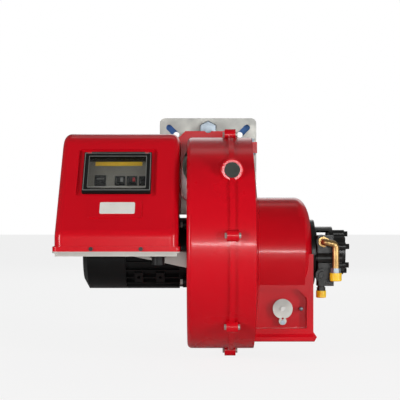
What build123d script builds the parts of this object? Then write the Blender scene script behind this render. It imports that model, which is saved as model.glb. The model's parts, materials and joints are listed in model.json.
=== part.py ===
"""Pressure-jet industrial burner, built as an assembly of separate pieces.

Millimetres, +Z up.  The origin is the centre of the boiler face of the mounting flange, on the
axis of the combustion head.  +Y runs into the boiler, +X towards the pump, -X towards the motor.
The fan shaft runs along X, behind and below the combustion head.
"""
from build123d import *
from math import atan2, cos, degrees, hypot, radians, sin, sqrt
import os

# ---------------------------------------------------------------- mounting flange and head
PLATE_SIDE = 215.0
PLATE_T = 8.0
PLATE_CORNER_R = 12.0
GASKET_T = 5.0
SLOT_PCD_MIN = 200.0
SLOT_PCD_MAX = 245.0
SLOT_W = 13.5
TUBE_R = 65.0
TUBE_WALL = 2.5
TUBE_STEP = 1.0           # the seated end is this much smaller in radius
TUBE_REACH = 230.0
TUBE_SEAT = 12.0          # length of blast tube held inside the neck
FIT_GAP = 0.3             # gap round pieces that only stand near each other
RUN_GAP = 0.05            # radial clearance of turning fits

LINE_R = 7.0              # nozzle line
SPIDER_Y = 70.0
SPIDER_T = 10.0
DISC_Y = 190.0            # face of the swirl disc
DISC_PLATE_R = 54.5
DISC_PLATE_T = 2.0
DISC_HOLE_R = 15.0
SWIRL_COUNT = 10
SWIRL_R = 34.0
SWIRL_LEN = 18.0
SWIRL_W = 2.5
SWIRL_ANGLE = 25.0
HOLDER_AF = 24.0
HOLDER_BACK = 30.0        # from the swirl disc's face to the nozzle holder's two ends
HOLDER_FRONT = 14.0
NOZZLE_LEN = 12.0
ROD_RING_R = 18.0
COLLAR_T = 4.0
ARM_BACK = 55.0
ARM_T = 8.0
ELECTRODE_X = 12.0
ELECTRODE_Z = 22.0
ELECTRODE_R = 1.2
PORCELAIN_R = 5.0

# ---------------------------------------------------------------- neck between fan and flange
NECK_R = 74.0
NECK_BORE_R = 56.0
NECK_HALF_W = 71.0
NECK_HALF_H = 76.0
NECK_CHAMFER = 21.0
NECK_FLANGE_T = 12.0
NECK_LEN = 47.0           # from the plate to the fan scroll
EAR_R = 15.0
EAR_T = 12.0
EAR_OFFSET = 80.0         # distance of each stud from the head axis
STUD_R = 8.0
EAR_REACH = 36.0          # side ear that takes the clamp screw
EAR_Z = 40.0
EAR_SCREW_R = 3.0
NUT_AF = 36.0
NUT_T = 15.0

# ---------------------------------------------------------------- fan scroll
SHAFT_Y = -235.0
SHAFT_Z = -181.0
SCROLL_LEFT = -43.0
SCROLL_RIGHT = 97.0
SCROLL_SPLIT = 43.0
SCROLL_FRONT_R = 171.0    # radius level with the shaft, on the boiler side
SCROLL_GROWTH = 20.7      # growth of the radius in each quarter turn
SCROLL_TONGUE_DEG = 30.0
SCROLL_WALL = 4.0
SCROLL_DISH = 12.0        # how far the pump side is dished out
SCROLL_DISH_R = 112.0
SCROLL_EDGE_R = 9.0
RIDGE_HALF_W = 5.0
RIDGE_H = 4.0
LUG_HALF_X = 11.0
LUG_R = 11.0
LUG_OUT = 6.5             # from the scroll's wall out to the middle of each lug
SCROLL_LEAD = 75.0        # length over which the pump side narrows to the neck
LUG_BOLT_R = 3.0
SIGHT_Z = -18.0
SIGHT_BOSS_R = 22.0
SIGHT_GLASS_R = 15.0
SIGHT_REACH = 18.0        # how far the boss stands out of the scroll

# ---------------------------------------------------------------- fan wheel and shaft line
SHAFT_R = 7.0
WHEEL_R = 125.0
WHEEL_BORE_R = 100.0
WHEEL_W = 74.0
WHEEL_SIDE_GAP = 14.0     # between the scroll's motor side and the wheel's back plate
WHEEL_PLATE_T = 2.0
WHEEL_RING_T = 3.0
BLADE_COUNT = 32
BLADE_T = 1.4
HUB_R = 20.0
HUB_LEN = 30.0
INLET_R = 88.0
COUPLING_R = 14.0

# ---------------------------------------------------------------- motor
MOTOR_R = 66.0
MOTOR_FIN_H = 7.0
MOTOR_FIN_T = 2.4
MOTOR_FIN_COUNT = 26
MOTOR_FRAME_LEN = 112.0
MOTOR_SHIELD_T = 16.0
MOTOR_COWL_LEN = 80.0
MOTOR_COWL_CHAMFER = 18.0
MOTOR_COWL_WALL = 2.5
COWL_SEAT = 6.0           # how far the cowl laps over the frame
MOTOR_PAD_W = 17.0
MOTOR_PAD_H = 26.0
MOTOR_PAD_HOLE_R = 3.5
MOTOR_PAD_ANGLES = (221.0, 319.0)
MOTOR_PAD_SHARES = (0.28, 0.66)
MOTOR_BOLT_PCD = 160.0

# ---------------------------------------------------------------- air intake
INTAKE_R = 111.0
INTAKE_RIGHT = 204.0
INTAKE_DOME_X = 31.0
INTAKE_DOME_R = 55.0
INTAKE_WALL = 5.0
INTAKE_FRONT = 95.0       # from the shaft to the duct's boiler side
INTAKE_REAR = 93.0        # from the shaft to the duct's service side
FOOT_Z = -352.0
FOOT_H = 20.0
FOOT_FLARE = 7.0
BAND_H = 2.0
POCKET_DEPTH = 12.0
POCKET_TOP = -250.0
POCKET_BOTTOM = -326.0
POCKET_RIGHT = 191.0
POCKET_GUSSET = 17.0
DAMPER_X = 144.0
DAMPER_Z = -288.0
DAMPER_HALF_W = 30.0
DAMPER_T = 2.0
SPINDLE_R = 5.0
DISC_R = 19.5
DISC_LUG_DROP = 24.0
STOP_PIN_OUT = 36.0
DISC_T = 3.0
DISC_LUG_R = 7.5
DISC_STANDOFF = 8.0

# ---------------------------------------------------------------- pump
PUMP_FLANGE_R = 66.0
PUMP_FLANGE_T = 8.0
PUMP_LANTERN_R = 52.0
PUMP_LANTERN_LEN = 45.0
PUMP_LANTERN_WALL = 6.0
PUMP_BODY_R = 38.0
PUMP_BODY_LEN = 20.0
PUMP_COVER_T = 5.0
PUMP_BOLT_R = 3.5
VALVE_X = 223.0           # middle of the port block
VALVE_OUT = 76.0          # from the shaft to the block's service side
VALVE_DROP = 64.0         # from the shaft down to the block's bottom
PORT_BOSS_R = 13.0
UNION_X = 225.0
UNION_UP = 24.0
PLUG_DROP = 42.0
REGULATOR_R = 9.5
REGULATOR_DROP = 8.0
DROP_X = 247.0            # the upright run of the return pipe
PIPE_R = 6.5
DROP_END = 27.0           # from the shaft down to the pipe's end
PIPE_NUT_T = 9.0

# ---------------------------------------------------------------- control box
BOX_LEFT = -288.0
BOX_RIGHT = -58.0
BOX_BOTTOM = -170.0
BOX_TOP = 57.0
BOX_REAR_Y = -460.0       # service side
BOX_FRONT_Y = -130.0      # boiler side
BOX_CREASE_Z = -136.0
SLOPE_RUN = 135.0
SLOPE_RISE = 166.0
BOX_CROWN_R = 60.0
BOX_CREASE_R = 25.0
BOX_SIDE_R = 16.0
BOX_WALL = 3.0
LIP_OUT = 3.0
LIP_H = 9.0
TRAY_T = 3.0
TRAY_RIM = 6.0
WINDOW_X = -177.0
WINDOW_V = 148.0          # up the slope, from the crease to the window's middle
WINDOW_W = 131.0
WINDOW_H = 104.0
RECESS_W = 152.0
RECESS_H = 118.0
RECESS_DEPTH = 4.0
LID_T = 6.0
LID_BORDER = 10.0
PANE_T = 2.0
PANEL_DEPTH = 24.0
PANEL_T = 2.0
BADGE_PAD_W = 100.0
BADGE_PAD_H = 46.0
BADGE_W = 66.0
BADGE_H = 27.0
SWITCH_SIDE = 20.0
SWITCH_PITCH = 23.5
ROCKER_TILT = 8.0
ROCKER_PIN_R = 1.0
ROCKER_PIN_UP = 1.6
SWITCH_V = WINDOW_V - 24.0
BADGE_V = 58.0
BADGE_PAD_T = 1.5
NOTCH_Y = -316.0          # from here to the boiler side the box stands clear of the motor
NOTCH_Z = -100.0
LID_BACK = RECESS_DEPTH - FIT_GAP
HINGE_R = LID_T / 2
HINGE_DEPTH = LID_BACK - HINGE_R
HINGE_UP = WINDOW_V + WINDOW_H / 2 - HINGE_R
HINGE_PIN_R = 1.5
EAR_X = WINDOW_W / 2 - 10.0        # middle of each hinge ear, from the window's middle
EAR_W = 7.0
GLAND_X = -96.0
GLAND_Y = -428.0
GLAND_STEM_R = 9.0
GLAND_BORE_R = 6.0
BRACKET_LEFT = -176.0
BRACKET_Y = -402.0
BRACKET_W = 60.0
BRACKET_H = 30.0


# ---------------------------------------------------------------- small helpers
def yz(x):
    """Sketch plane square to X: its own x is +Y, its own y is +Z, and it faces +X."""
    return Plane(origin=(x, 0, 0), x_dir=(0, 1, 0), z_dir=(1, 0, 0))


def xz(y):
    """Sketch plane square to Y: its own x is +X, its own y is +Z, and it faces -Y."""
    return Plane(origin=(0, y, 0), x_dir=(1, 0, 0), z_dir=(0, -1, 0))


def rod_x(x0, x1, r, y=SHAFT_Y, z=SHAFT_Z):
    return extrude(yz(x0) * Pos(y, z) * Circle(r), x1 - x0)


def rod_y(y0, y1, r, x, z):
    return extrude(xz(y1) * Pos(x, z) * Circle(r), y1 - y0)


def rod_z(z0, z1, r, x, y):
    return extrude(Plane.XY.offset(z0) * Pos(x, y) * Circle(r), z1 - z0)


def hex_x(x0, x1, af, y, z):
    return extrude(yz(x0) * Pos(y, z) * RegularPolygon(af / 2, 6, major_radius=False), x1 - x0)


def hex_y(y0, y1, af, x, z):
    shape = Rot(0, 0, 30) * RegularPolygon(af / 2, 6, major_radius=False)
    return extrude(xz(y1) * Pos(x, z) * shape, y1 - y0)


def hex_z(z0, z1, af, x, y):
    return extrude(Plane.XY.offset(z0) * Pos(x, y) * RegularPolygon(af / 2, 6, major_radius=False), z1 - z0)


def block(x0, x1, y0, y1, z0, z1):
    return Pos((x0 + x1) / 2, (y0 + y1) / 2, (z0 + z1) / 2) * Box(x1 - x0, y1 - y0, z1 - z0)


def union(pieces):
    """One shape of the pieces: a set of separate solids where they do not touch."""
    whole = pieces[0]
    for piece in pieces[1:]:
        whole = whole + piece
    return whole


# ---------------------------------------------------------------- places worked out from the sizes
PLATE_BACK = -GASKET_T                      # boiler face of the steel plate
PLATE_FRONT = PLATE_BACK - PLATE_T          # service face of the steel plate
NECK_END = PLATE_FRONT - NECK_LEN           # where the neck meets the scroll
SCROLL_TOP_R = SCROLL_FRONT_R + 3 * SCROLL_GROWTH
OUTLET_TOP_Z = SHAFT_Z + SCROLL_TOP_R
OUTLET_LOW_Z = -NECK_HALF_H
WHEEL_X0 = SCROLL_LEFT + WHEEL_SIDE_GAP
WHEEL_X1 = WHEEL_X0 + WHEEL_W
PUMP_FACE = INTAKE_RIGHT + PUMP_FLANGE_T
PUMP_BODY_X0 = PUMP_FACE + PUMP_LANTERN_LEN - PUMP_FLANGE_T
PUMP_BODY_X1 = PUMP_BODY_X0 + PUMP_BODY_LEN
MOTOR_X1 = SCROLL_LEFT
MOTOR_FRAME_X1 = MOTOR_X1 - MOTOR_SHIELD_T
MOTOR_FRAME_X0 = MOTOR_FRAME_X1 - MOTOR_FRAME_LEN
MOTOR_COWL_X0 = MOTOR_FRAME_X0 - MOTOR_COWL_LEN
DUCT_REAR_Y = SHAFT_Y - INTAKE_REAR
DUCT_FRONT_Y = SHAFT_Y + INTAKE_FRONT
VALVE_REAR_Y = SHAFT_Y - VALVE_OUT
VALVE_LOW_Z = SHAFT_Z - VALVE_DROP
INLET_Y = VALVE_REAR_Y + 22
UNION_Z = SHAFT_Z + UNION_UP
UNION_END_Y = VALVE_REAR_Y - 10
PLUG_Z = SHAFT_Z - PLUG_DROP
REGULATOR_Y = VALVE_REAR_Y - 4
REGULATOR_Z = SHAFT_Z - REGULATOR_DROP
DROP_Y = UNION_END_Y - 14
DROP_END_Z = SHAFT_Z - DROP_END
STUD_SPOTS = [(0, EAR_OFFSET), (0, -EAR_OFFSET), (EAR_OFFSET, 0), (-EAR_OFFSET, 0)]


def scroll_radius(turn):
    """Radius of the scroll's wall, with turn in degrees down from the boiler side."""
    return SCROLL_FRONT_R + SCROLL_GROWTH * turn / 90


def scroll_point(turn, inset=0.0):
    r = scroll_radius(turn) - inset
    return (SHAFT_Y + r * cos(radians(-turn)), SHAFT_Z + r * sin(radians(-turn)))


# ---------------------------------------------------------------- mounting flange
def corner_slots(width):
    """Four slots on the diagonals, for boiler studs between the two pitch circles."""
    middle = (SLOT_PCD_MIN + SLOT_PCD_MAX) / 4
    length = (SLOT_PCD_MAX - SLOT_PCD_MIN) / 2
    slots = [
        Rot(0, 0, 45 + 90 * n) * Pos(middle, 0) * SlotCenterToCenter(length, width)
        for n in range(4)
    ]
    return union(slots)


def mounting_plate():
    face = RectangleRounded(PLATE_SIDE, PLATE_SIDE, PLATE_CORNER_R) - corner_slots(SLOT_W)
    face -= Circle(TUBE_R + 1.0)
    plate = extrude(xz(PLATE_BACK) * face, PLATE_T)
    for x, z in STUD_SPOTS:
        plate -= rod_y(PLATE_FRONT - 1, PLATE_BACK + 1, STUD_R, x, z)
    return plate


def flange_gasket():
    face = RectangleRounded(PLATE_SIDE, PLATE_SIDE, PLATE_CORNER_R) - Circle(TUBE_R + 2.0)
    for n in range(4):
        face -= Rot(0, 0, 45 + 90 * n) * Pos(SLOT_PCD_MIN / 2, 0) * Circle(SLOT_W / 2)
    return extrude(xz(0) * face, GASKET_T)


def flange_studs():
    end = PLATE_FRONT - EAR_T - NUT_T - 4
    return union([rod_y(end, PLATE_BACK, STUD_R, x, z) for x, z in STUD_SPOTS])


def flange_nuts():
    y1 = PLATE_FRONT - EAR_T
    nuts = [
        chamfer(hex_y(y1 - NUT_T, y1, NUT_AF, x, z).faces().sort_by(Axis.Y)[0].edges(), 1.5)
        - rod_y(y1 - NUT_T - 1, y1 + 1, STUD_R, x, z)
        for x, z in STUD_SPOTS
    ]
    return union(nuts)


# ---------------------------------------------------------------- neck and combustion head
def neck_casting():
    flange = extrude(
        xz(NECK_END + NECK_FLANGE_T)
        * chamfer(Rectangle(2 * NECK_HALF_W, 2 * NECK_HALF_H).vertices(), NECK_CHAMFER),
        NECK_FLANGE_T,
    )
    neck = flange + rod_y(NECK_END, PLATE_FRONT, NECK_R - 6, 0, 0)
    neck += rod_y(PLATE_FRONT - EAR_T, PLATE_FRONT, NECK_R, 0, 0)
    for x, z in STUD_SPOTS:
        neck += rod_y(PLATE_FRONT - EAR_T, PLATE_FRONT, EAR_R, x, z)
        # the nut needs a flat to seat on and the stud a clear hole
        neck -= rod_y(NECK_END + NECK_FLANGE_T, PLATE_FRONT - EAR_T, NUT_AF * 0.6, x, z)
        neck -= rod_y(NECK_END, PLATE_FRONT + 1, STUD_R + FIT_GAP, x, z)
    # side ear for the clamp screw
    ear_y = NECK_END + NECK_FLANGE_T / 2
    ear = block(NECK_HALF_W - 2, NECK_HALF_W + EAR_REACH, NECK_END, NECK_END + NECK_FLANGE_T, EAR_Z - 12, EAR_Z + 12)
    neck += ear - rod_z(EAR_Z - 20, EAR_Z + 20, EAR_SCREW_R + FIT_GAP, NECK_HALF_W + EAR_REACH - 9, ear_y)
    neck -= rod_y(NECK_END - 1, PLATE_FRONT + 1, NECK_BORE_R, 0, 0)
    neck -= rod_y(PLATE_FRONT - TUBE_SEAT, PLATE_FRONT + 1, TUBE_R - TUBE_STEP, 0, 0)
    return neck


def clamp_screw():
    x, y = NECK_HALF_W + EAR_REACH - 9, NECK_END + NECK_FLANGE_T / 2
    screw = rod_z(EAR_Z - 12 - 4, EAR_Z + 12 + 8, EAR_SCREW_R, x, y)
    return screw + hex_z(EAR_Z - 12 - 4, EAR_Z - 12, EAR_SCREW_R * 3.3, x, y)


def blast_tube():
    y0 = PLATE_FRONT - TUBE_SEAT
    bore = TUBE_R - TUBE_WALL
    tube = rod_y(0, TUBE_REACH, TUBE_R, 0, 0) + rod_y(y0, 0, TUBE_R - TUBE_STEP, 0, 0)
    tube -= rod_y(y0 - 1, TUBE_REACH + 1, bore, 0, 0)
    # the mouth is drawn in to a throat
    cone = Pos(0, TUBE_REACH - 12, 0) * Rot(-90, 0, 0) * (Cone(bore + 0.5, bore - 9, 24) - Cone(bore - 2, bore - 11.5, 24))
    return tube + cone


def head_spider():
    """Three-legged carrier that holds the nozzle line on the tube's axis."""
    y0 = SPIDER_Y
    bore = TUBE_R - TUBE_WALL
    ring = rod_y(y0, y0 + SPIDER_T, bore, 0, 0) - rod_y(y0 - 1, y0 + SPIDER_T + 1, bore - 3, 0, 0)
    hub = rod_y(y0, y0 + SPIDER_T, LINE_R + 6, 0, 0)
    legs = [Rot(0, 120 * n + 90, 0) * block(LINE_R + 4, bore - 1, y0, y0 + SPIDER_T, -2, 2) for n in range(3)]
    return (ring + hub + legs) - rod_y(y0 - 1, y0 + SPIDER_T + 1, LINE_R + RUN_GAP, 0, 0)


def nozzle_line():
    """Fuel line with its nozzle holder, its nozzle and the arm that carries the electrodes."""
    y0, y1 = DISC_Y - HOLDER_BACK, DISC_Y - HOLDER_FRONT
    line = rod_y(NECK_END + 10, y0, LINE_R, 0, 0) + hex_y(y0, y1, HOLDER_AF, 0, 0)
    line += Pos(0, y1 + NOZZLE_LEN / 2, 0) * Rot(-90, 0, 0) * Cone(9, 5, NOZZLE_LEN)
    arm_y = DISC_Y - ARM_BACK
    arm_w = ELECTRODE_X + PORCELAIN_R + 2
    line += block(-arm_w, arm_w, arm_y, arm_y + ARM_T, 0, ELECTRODE_Z + PORCELAIN_R + 3)
    for side in (-1, 1):
        line -= rod_y(arm_y - 1, arm_y + ARM_T + 1, PORCELAIN_R, side * ELECTRODE_X, ELECTRODE_Z)
    return line


def flame_disc():
    """Swirl disc with a centre hole and slanted slots, on three rods from a collar on the holder."""
    disc = rod_y(DISC_Y, DISC_Y + DISC_PLATE_T, DISC_PLATE_R, 0, 0)
    disc -= rod_y(DISC_Y - 1, DISC_Y + DISC_PLATE_T + 1, DISC_HOLE_R, 0, 0)
    for n in range(SWIRL_COUNT):
        slot = Rot(0, 0, 360 / SWIRL_COUNT * n) * Pos(SWIRL_R, 0) * Rot(0, 0, SWIRL_ANGLE)
        slot *= SlotCenterToCenter(SWIRL_LEN, SWIRL_W)
        disc -= extrude(xz(DISC_Y + DISC_PLATE_T + 1) * slot, DISC_PLATE_T + 2)
    y0 = DISC_Y - HOLDER_BACK + 5
    collar = rod_y(y0, y0 + COLLAR_T, ROD_RING_R + 3, 0, 0) - hex_y(y0 - 1, y0 + COLLAR_T + 1, HOLDER_AF, 0, 0)
    rods = [Rot(0, 120 * n + 30, 0) * rod_y(y0, DISC_Y + 1, 1.5, ROD_RING_R, 0) for n in range(3)]
    return disc + collar + rods


def electrodes():
    """Pair of ignition electrodes in their porcelain, beside the nozzle."""
    pair = []
    for side in (-1, 1):
        x = side * ELECTRODE_X
        porcelain = rod_y(DISC_Y - ARM_BACK - 18, DISC_Y - ARM_BACK + 25, PORCELAIN_R, x, ELECTRODE_Z)
        pair.append(porcelain + rod_y(DISC_Y - ARM_BACK - 35, DISC_Y - 6, ELECTRODE_R, x, ELECTRODE_Z))
    return union(pair)


# ---------------------------------------------------------------- fan scroll
def scroll_form(inset):
    """The scroll as a solid, drawn in by inset on every side but the outlet."""
    turns = [-SCROLL_TONGUE_DEG + n * (270 + SCROLL_TONGUE_DEG) / 12 for n in range(13)]
    curve = Spline(*[scroll_point(t, inset) for t in turns], tangents=[(0.5, -0.85), (1, -0.03)], tangent_scalars=[0.6, 0.6])
    end_y = NECK_END + (1 if inset else 0)
    walls = Polyline(
        curve @ 1, (end_y, OUTLET_TOP_Z - inset), (end_y, OUTLET_LOW_Z + inset), curve @ 0
    )
    face = make_face(curve + walls)
    x0, x1 = SCROLL_LEFT + inset, SCROLL_RIGHT - inset
    body = extrude(yz(x0) * face, x1 - x0)
    # pump side: dished, flat inside SCROLL_DISH_R
    big = SCROLL_TOP_R + 150
    rim_x = x1 - SCROLL_DISH * (big - SCROLL_DISH_R) / (SCROLL_TOP_R - SCROLL_DISH_R)
    dish = Polyline((x0 - 1, 0), (x0 - 1, big), (rim_x, big), (x1, SCROLL_DISH_R), (x1, 0), close=True)
    turned = revolve(Plane.XY * make_face(dish), Axis.X, 360)
    body = body & (Pos(0, SHAFT_Y, SHAFT_Z) * turned)
    # pump side narrows to the neck's width at the outlet
    wedge = Polyline(
        (x1 + 60, NECK_END - SCROLL_LEAD), (x1, NECK_END - SCROLL_LEAD), (NECK_HALF_W - inset, NECK_END),
        (NECK_HALF_W - inset, NECK_END + 10), (x1 + 60, NECK_END + 10), close=True,
    )
    cutter = extrude(Plane.XY.offset(OUTLET_LOW_Z - 200) * make_face(wedge), 700)
    return body - cutter


def lug_turns():
    """Places of the bolted lugs round the parting ridge, in degrees down from the boiler side."""
    return [50.0, 92.0, 140.0, 190.5, 268.0]


def lug_centre(turn):
    r = scroll_radius(turn) + LUG_OUT
    return (SHAFT_Y + r * cos(radians(-turn)), SHAFT_Z + r * sin(radians(-turn)))


def scroll_outside():
    """The closed outer form of both halves, with ridge, lugs and sight boss."""
    body = scroll_form(0)
    left_edges = body.faces().sort_by(Axis.X)[0].edges()
    body = fillet(left_edges.filter_by(lambda e: e.center().Y < NECK_END - 1), SCROLL_EDGE_R)
    turns = [15 + n * 255 / 10 for n in range(11)]
    rim = Spline(*[scroll_point(t, -RIDGE_H) for t in turns])
    inner = Spline(*[scroll_point(t, SCROLL_WALL / 2) for t in turns])
    ridge = make_face(rim + inner + Line(rim @ 0, inner @ 0) + Line(rim @ 1, inner @ 1))
    body += extrude(yz(SCROLL_SPLIT - RIDGE_HALF_W) * ridge, 2 * RIDGE_HALF_W)
    for turn in lug_turns():
        y, z = lug_centre(turn)
        body += rod_x(SCROLL_SPLIT - LUG_HALF_X, SCROLL_SPLIT + LUG_HALF_X, LUG_R, y, z)
    sight_y = sight_face_y()
    boss = rod_y(sight_y, sight_y + 50, SIGHT_BOSS_R, SCROLL_SPLIT, SIGHT_Z)
    return body + fillet(boss.edges().sort_by(Axis.Y)[0], 3.0)


def sight_face_y():
    """Face of the sight boss, which stands clear of the scroll at that height."""
    rise = SIGHT_Z - SHAFT_Z
    turn = 180 + degrees(atan2(rise, sqrt(scroll_radius(225) ** 2 - rise**2)))
    y, _ = scroll_point(turn)
    return y - SIGHT_REACH


def scroll_shell():
    shell = scroll_outside()
    sight_y = sight_face_y()
    shell -= rod_y(sight_y - 1, sight_y + 90, SIGHT_GLASS_R - 3, SCROLL_SPLIT, SIGHT_Z)
    shell -= rod_y(sight_y - 1, sight_y + 6, SIGHT_GLASS_R, SCROLL_SPLIT, SIGHT_Z)
    inside = scroll_form(SCROLL_WALL)
    shell -= inside
    for turn in lug_turns():
        y, z = lug_centre(turn)
        shell -= rod_x(SCROLL_SPLIT - LUG_HALF_X - 1, SCROLL_SPLIT + LUG_HALF_X + 1, LUG_BOLT_R, y, z)
    # motor spigot on one side, air inlet on the other
    shell -= rod_x(SCROLL_LEFT - 1, SCROLL_LEFT + SCROLL_WALL + 1, HUB_R + 8)
    shell -= rod_x(SCROLL_RIGHT - SCROLL_WALL - 1, SCROLL_RIGHT + 1, INLET_R)
    for y, z in motor_bolt_spots():
        shell -= rod_x(SCROLL_LEFT - 1, SCROLL_LEFT + SCROLL_WALL + 1, LUG_BOLT_R, y, z)
    return shell


def scroll_halves():
    shell = scroll_shell()
    far = 900
    left = shell & block(SCROLL_LEFT - 10, SCROLL_SPLIT, -far, far, -far, far)
    right = shell & block(SCROLL_SPLIT, SCROLL_RIGHT + 10, -far, far, -far, far)
    return largest(left), largest(right)


def largest(shape):
    return shape.solids().sort_by(SortBy.VOLUME)[-1]


def scroll_bolts():
    bolts = []
    for turn in lug_turns():
        y, z = lug_centre(turn)
        x0, x1 = SCROLL_SPLIT - LUG_HALF_X, SCROLL_SPLIT + LUG_HALF_X
        head = rod_x(x1, x1 + 4, LUG_BOLT_R * 1.8, y, z)
        bolts.append(rod_x(x0, x1, LUG_BOLT_R, y, z) + head + hex_x(x0 - 4, x0, LUG_BOLT_R * 3.3, y, z))
    return union(bolts)


def sight_glass():
    y = sight_face_y()
    return rod_y(y + 1, y + 6, SIGHT_GLASS_R, SCROLL_SPLIT, SIGHT_Z)


def inlet_ring():
    """Flared ring that leads air from the intake into the wheel."""
    x1 = SCROLL_RIGHT - SCROLL_WALL
    outer = Polyline((x1, INLET_R - 14), (x1, INLET_R + 10), (x1 - 2, INLET_R + 10), (x1 - 2, INLET_R - 8),
                     (WHEEL_X1 + 2, INLET_R - 12), (WHEEL_X1 + 2, INLET_R - 14), close=True)
    return Pos(0, SHAFT_Y, SHAFT_Z) * revolve(Plane.XY * make_face(outer), Axis.X, 360)


# ---------------------------------------------------------------- fan wheel and shaft line
def fan_wheel():
    back = rod_x(WHEEL_X0, WHEEL_X0 + WHEEL_PLATE_T, WHEEL_R)
    hub = rod_x(WHEEL_X0, WHEEL_X0 + HUB_LEN, HUB_R)
    ring = rod_x(WHEEL_X1 - WHEEL_RING_T, WHEEL_X1, WHEEL_R) - rod_x(WHEEL_X1 - WHEEL_RING_T - 1, WHEEL_X1 + 1, WHEEL_BORE_R)
    # one forward-curved blade, an arc between the wheel's bore and its rim
    arc = ThreePointArc((WHEEL_BORE_R, 0), ((WHEEL_BORE_R + WHEEL_R) / 2 + 2, 7), (WHEEL_R - 1.0, 18))
    back_arc = ThreePointArc(
        (WHEEL_BORE_R, BLADE_T), ((WHEEL_BORE_R + WHEEL_R) / 2 + 2 - BLADE_T * 0.4, 7 + BLADE_T), (WHEEL_R - 1.6, 18 + BLADE_T)
    )
    face = make_face(arc + back_arc + Line(arc @ 0, back_arc @ 0) + Line(arc @ 1, back_arc @ 1))
    blade = extrude(yz(WHEEL_X0 + WHEEL_PLATE_T / 2) * face, WHEEL_W - WHEEL_PLATE_T / 2 - WHEEL_RING_T / 2)
    blades = [
        Pos(0, SHAFT_Y, SHAFT_Z) * Rot(360 / BLADE_COUNT * n, 0, 0) * blade for n in range(BLADE_COUNT)
    ]
    wheel = back + hub + ring
    wheel = wheel + blades
    return wheel - rod_x(WHEEL_X0 - 1, WHEEL_X0 + HUB_LEN + 1, SHAFT_R)


def motor_shaft():
    return rod_x(MOTOR_COWL_X0 + 20, WHEEL_X0 + HUB_LEN + 8, SHAFT_R)


def drive_coupling():
    x0 = WHEEL_X0 + HUB_LEN + 8
    x1 = INTAKE_RIGHT - 20
    return rod_x(x0, x1, COUPLING_R) + rod_x(x1, PUMP_BODY_X0 - 2, SHAFT_R * 0.8)


def motor_fan():
    """Cooling fan on the motor's tail, inside the cowl."""
    x0 = MOTOR_FRAME_X0 - 30
    disc = rod_x(x0, x0 + 3, 48.0) + rod_x(x0 - 8, x0 + 12, 14.0)
    vanes = [
        Pos(0, SHAFT_Y, SHAFT_Z) * Rot(60 * n, 0, 0) * block(x0, x0 + 18, 12, 48, -1.2, 1.2) for n in range(6)
    ]
    return union([disc] + vanes) - rod_x(x0 - 10, x0 + 20, SHAFT_R)


# ---------------------------------------------------------------- motor
def motor_bolt_spots():
    r = MOTOR_BOLT_PCD / 2
    return [
        (SHAFT_Y + r * cos(radians(a)), SHAFT_Z + r * sin(radians(a))) for a in (45, 135, 225, 315)
    ]


def motor_frame():
    x0, x1 = MOTOR_FRAME_X0, MOTOR_FRAME_X1
    seat_r = MOTOR_R + MOTOR_FIN_H - MOTOR_COWL_WALL
    body = rod_x(x0, x1, MOTOR_R) + rod_x(x0, x0 + COWL_SEAT, seat_r)
    fin = block(x0 + COWL_SEAT, x1, MOTOR_R - 2, MOTOR_R + MOTOR_FIN_H, -MOTOR_FIN_T / 2, MOTOR_FIN_T / 2)
    place = Pos(0, SHAFT_Y, SHAFT_Z)
    step = 360 / MOTOR_FIN_COUNT
    body = body + [place * Rot(step * n, 0, 0) * fin for n in range(MOTOR_FIN_COUNT)]
    # bolt pads low on both sides of the frame
    half = MOTOR_PAD_W / 2
    for angle in MOTOR_PAD_ANGLES:
        for share in MOTOR_PAD_SHARES:
            x = x0 + share * (x1 - x0)
            pad = block(x - half, x + half, MOTOR_R - 4, MOTOR_R + MOTOR_FIN_H, -MOTOR_PAD_H / 2, MOTOR_PAD_H / 2)
            body = body + place * Rot(angle, 0, 0) * pad
            body = body - place * Rot(angle, 0, 0) * rod_hole(x)
    return body - rod_x(x0 - 1, x1 + 1, SHAFT_R + RUN_GAP)


def rod_hole(x):
    """A blind tapped hole down a bolt pad that faces +Y."""
    return Pos(x, MOTOR_R + MOTOR_FIN_H, 0) * Rot(90, 0, 0) * Cylinder(MOTOR_PAD_HOLE_R, 10)


def motor_shield():
    """End shield that bolts the motor to the scroll."""
    x0, x1 = MOTOR_FRAME_X1, MOTOR_X1
    shield = rod_x(x0, x1, MOTOR_R + 4)
    for y, z in motor_bolt_spots():
        shield += rod_x(x1 - 9, x1, 11.0, y, z)
        shield -= rod_x(x1 - 10, x1 + 1, LUG_BOLT_R, y, z)
    return shield - rod_x(x0 - 1, x1 + 1, SHAFT_R + RUN_GAP)


def motor_bolts():
    bolts = []
    for y, z in motor_bolt_spots():
        x1 = MOTOR_X1 - 9
        bolts.append(hex_x(x1 - 5, x1, 10.0, y, z) + rod_x(x1, SCROLL_LEFT + SCROLL_WALL, LUG_BOLT_R, y, z))
    return union(bolts)


def motor_cowl():
    r = MOTOR_R + MOTOR_FIN_H
    x0, x1 = MOTOR_COWL_X0, MOTOR_FRAME_X0 + COWL_SEAT
    outer = chamfer(rod_x(x0, x1, r).edges().sort_by(Axis.X)[0], 10.0, MOTOR_COWL_CHAMFER)
    wall = MOTOR_COWL_WALL
    inner = chamfer(rod_x(x0 + wall, x1 + 1, r - wall).edges().sort_by(Axis.X)[0], 10.0, MOTOR_COWL_CHAMFER)
    cowl = outer - inner
    # air slots across the tail, in rings
    for ring_r, count in ((22.0, 8), (38.0, 14)):
        slot = Rot(0, 0, 0) * Pos(ring_r, 0) * SlotCenterToCenter(8, 4)
        for n in range(count):
            cowl -= extrude(yz(x0 - 1) * Pos(SHAFT_Y, SHAFT_Z) * Rot(0, 0, 360 / count * n) * slot, wall + 2)
    return cowl


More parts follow.
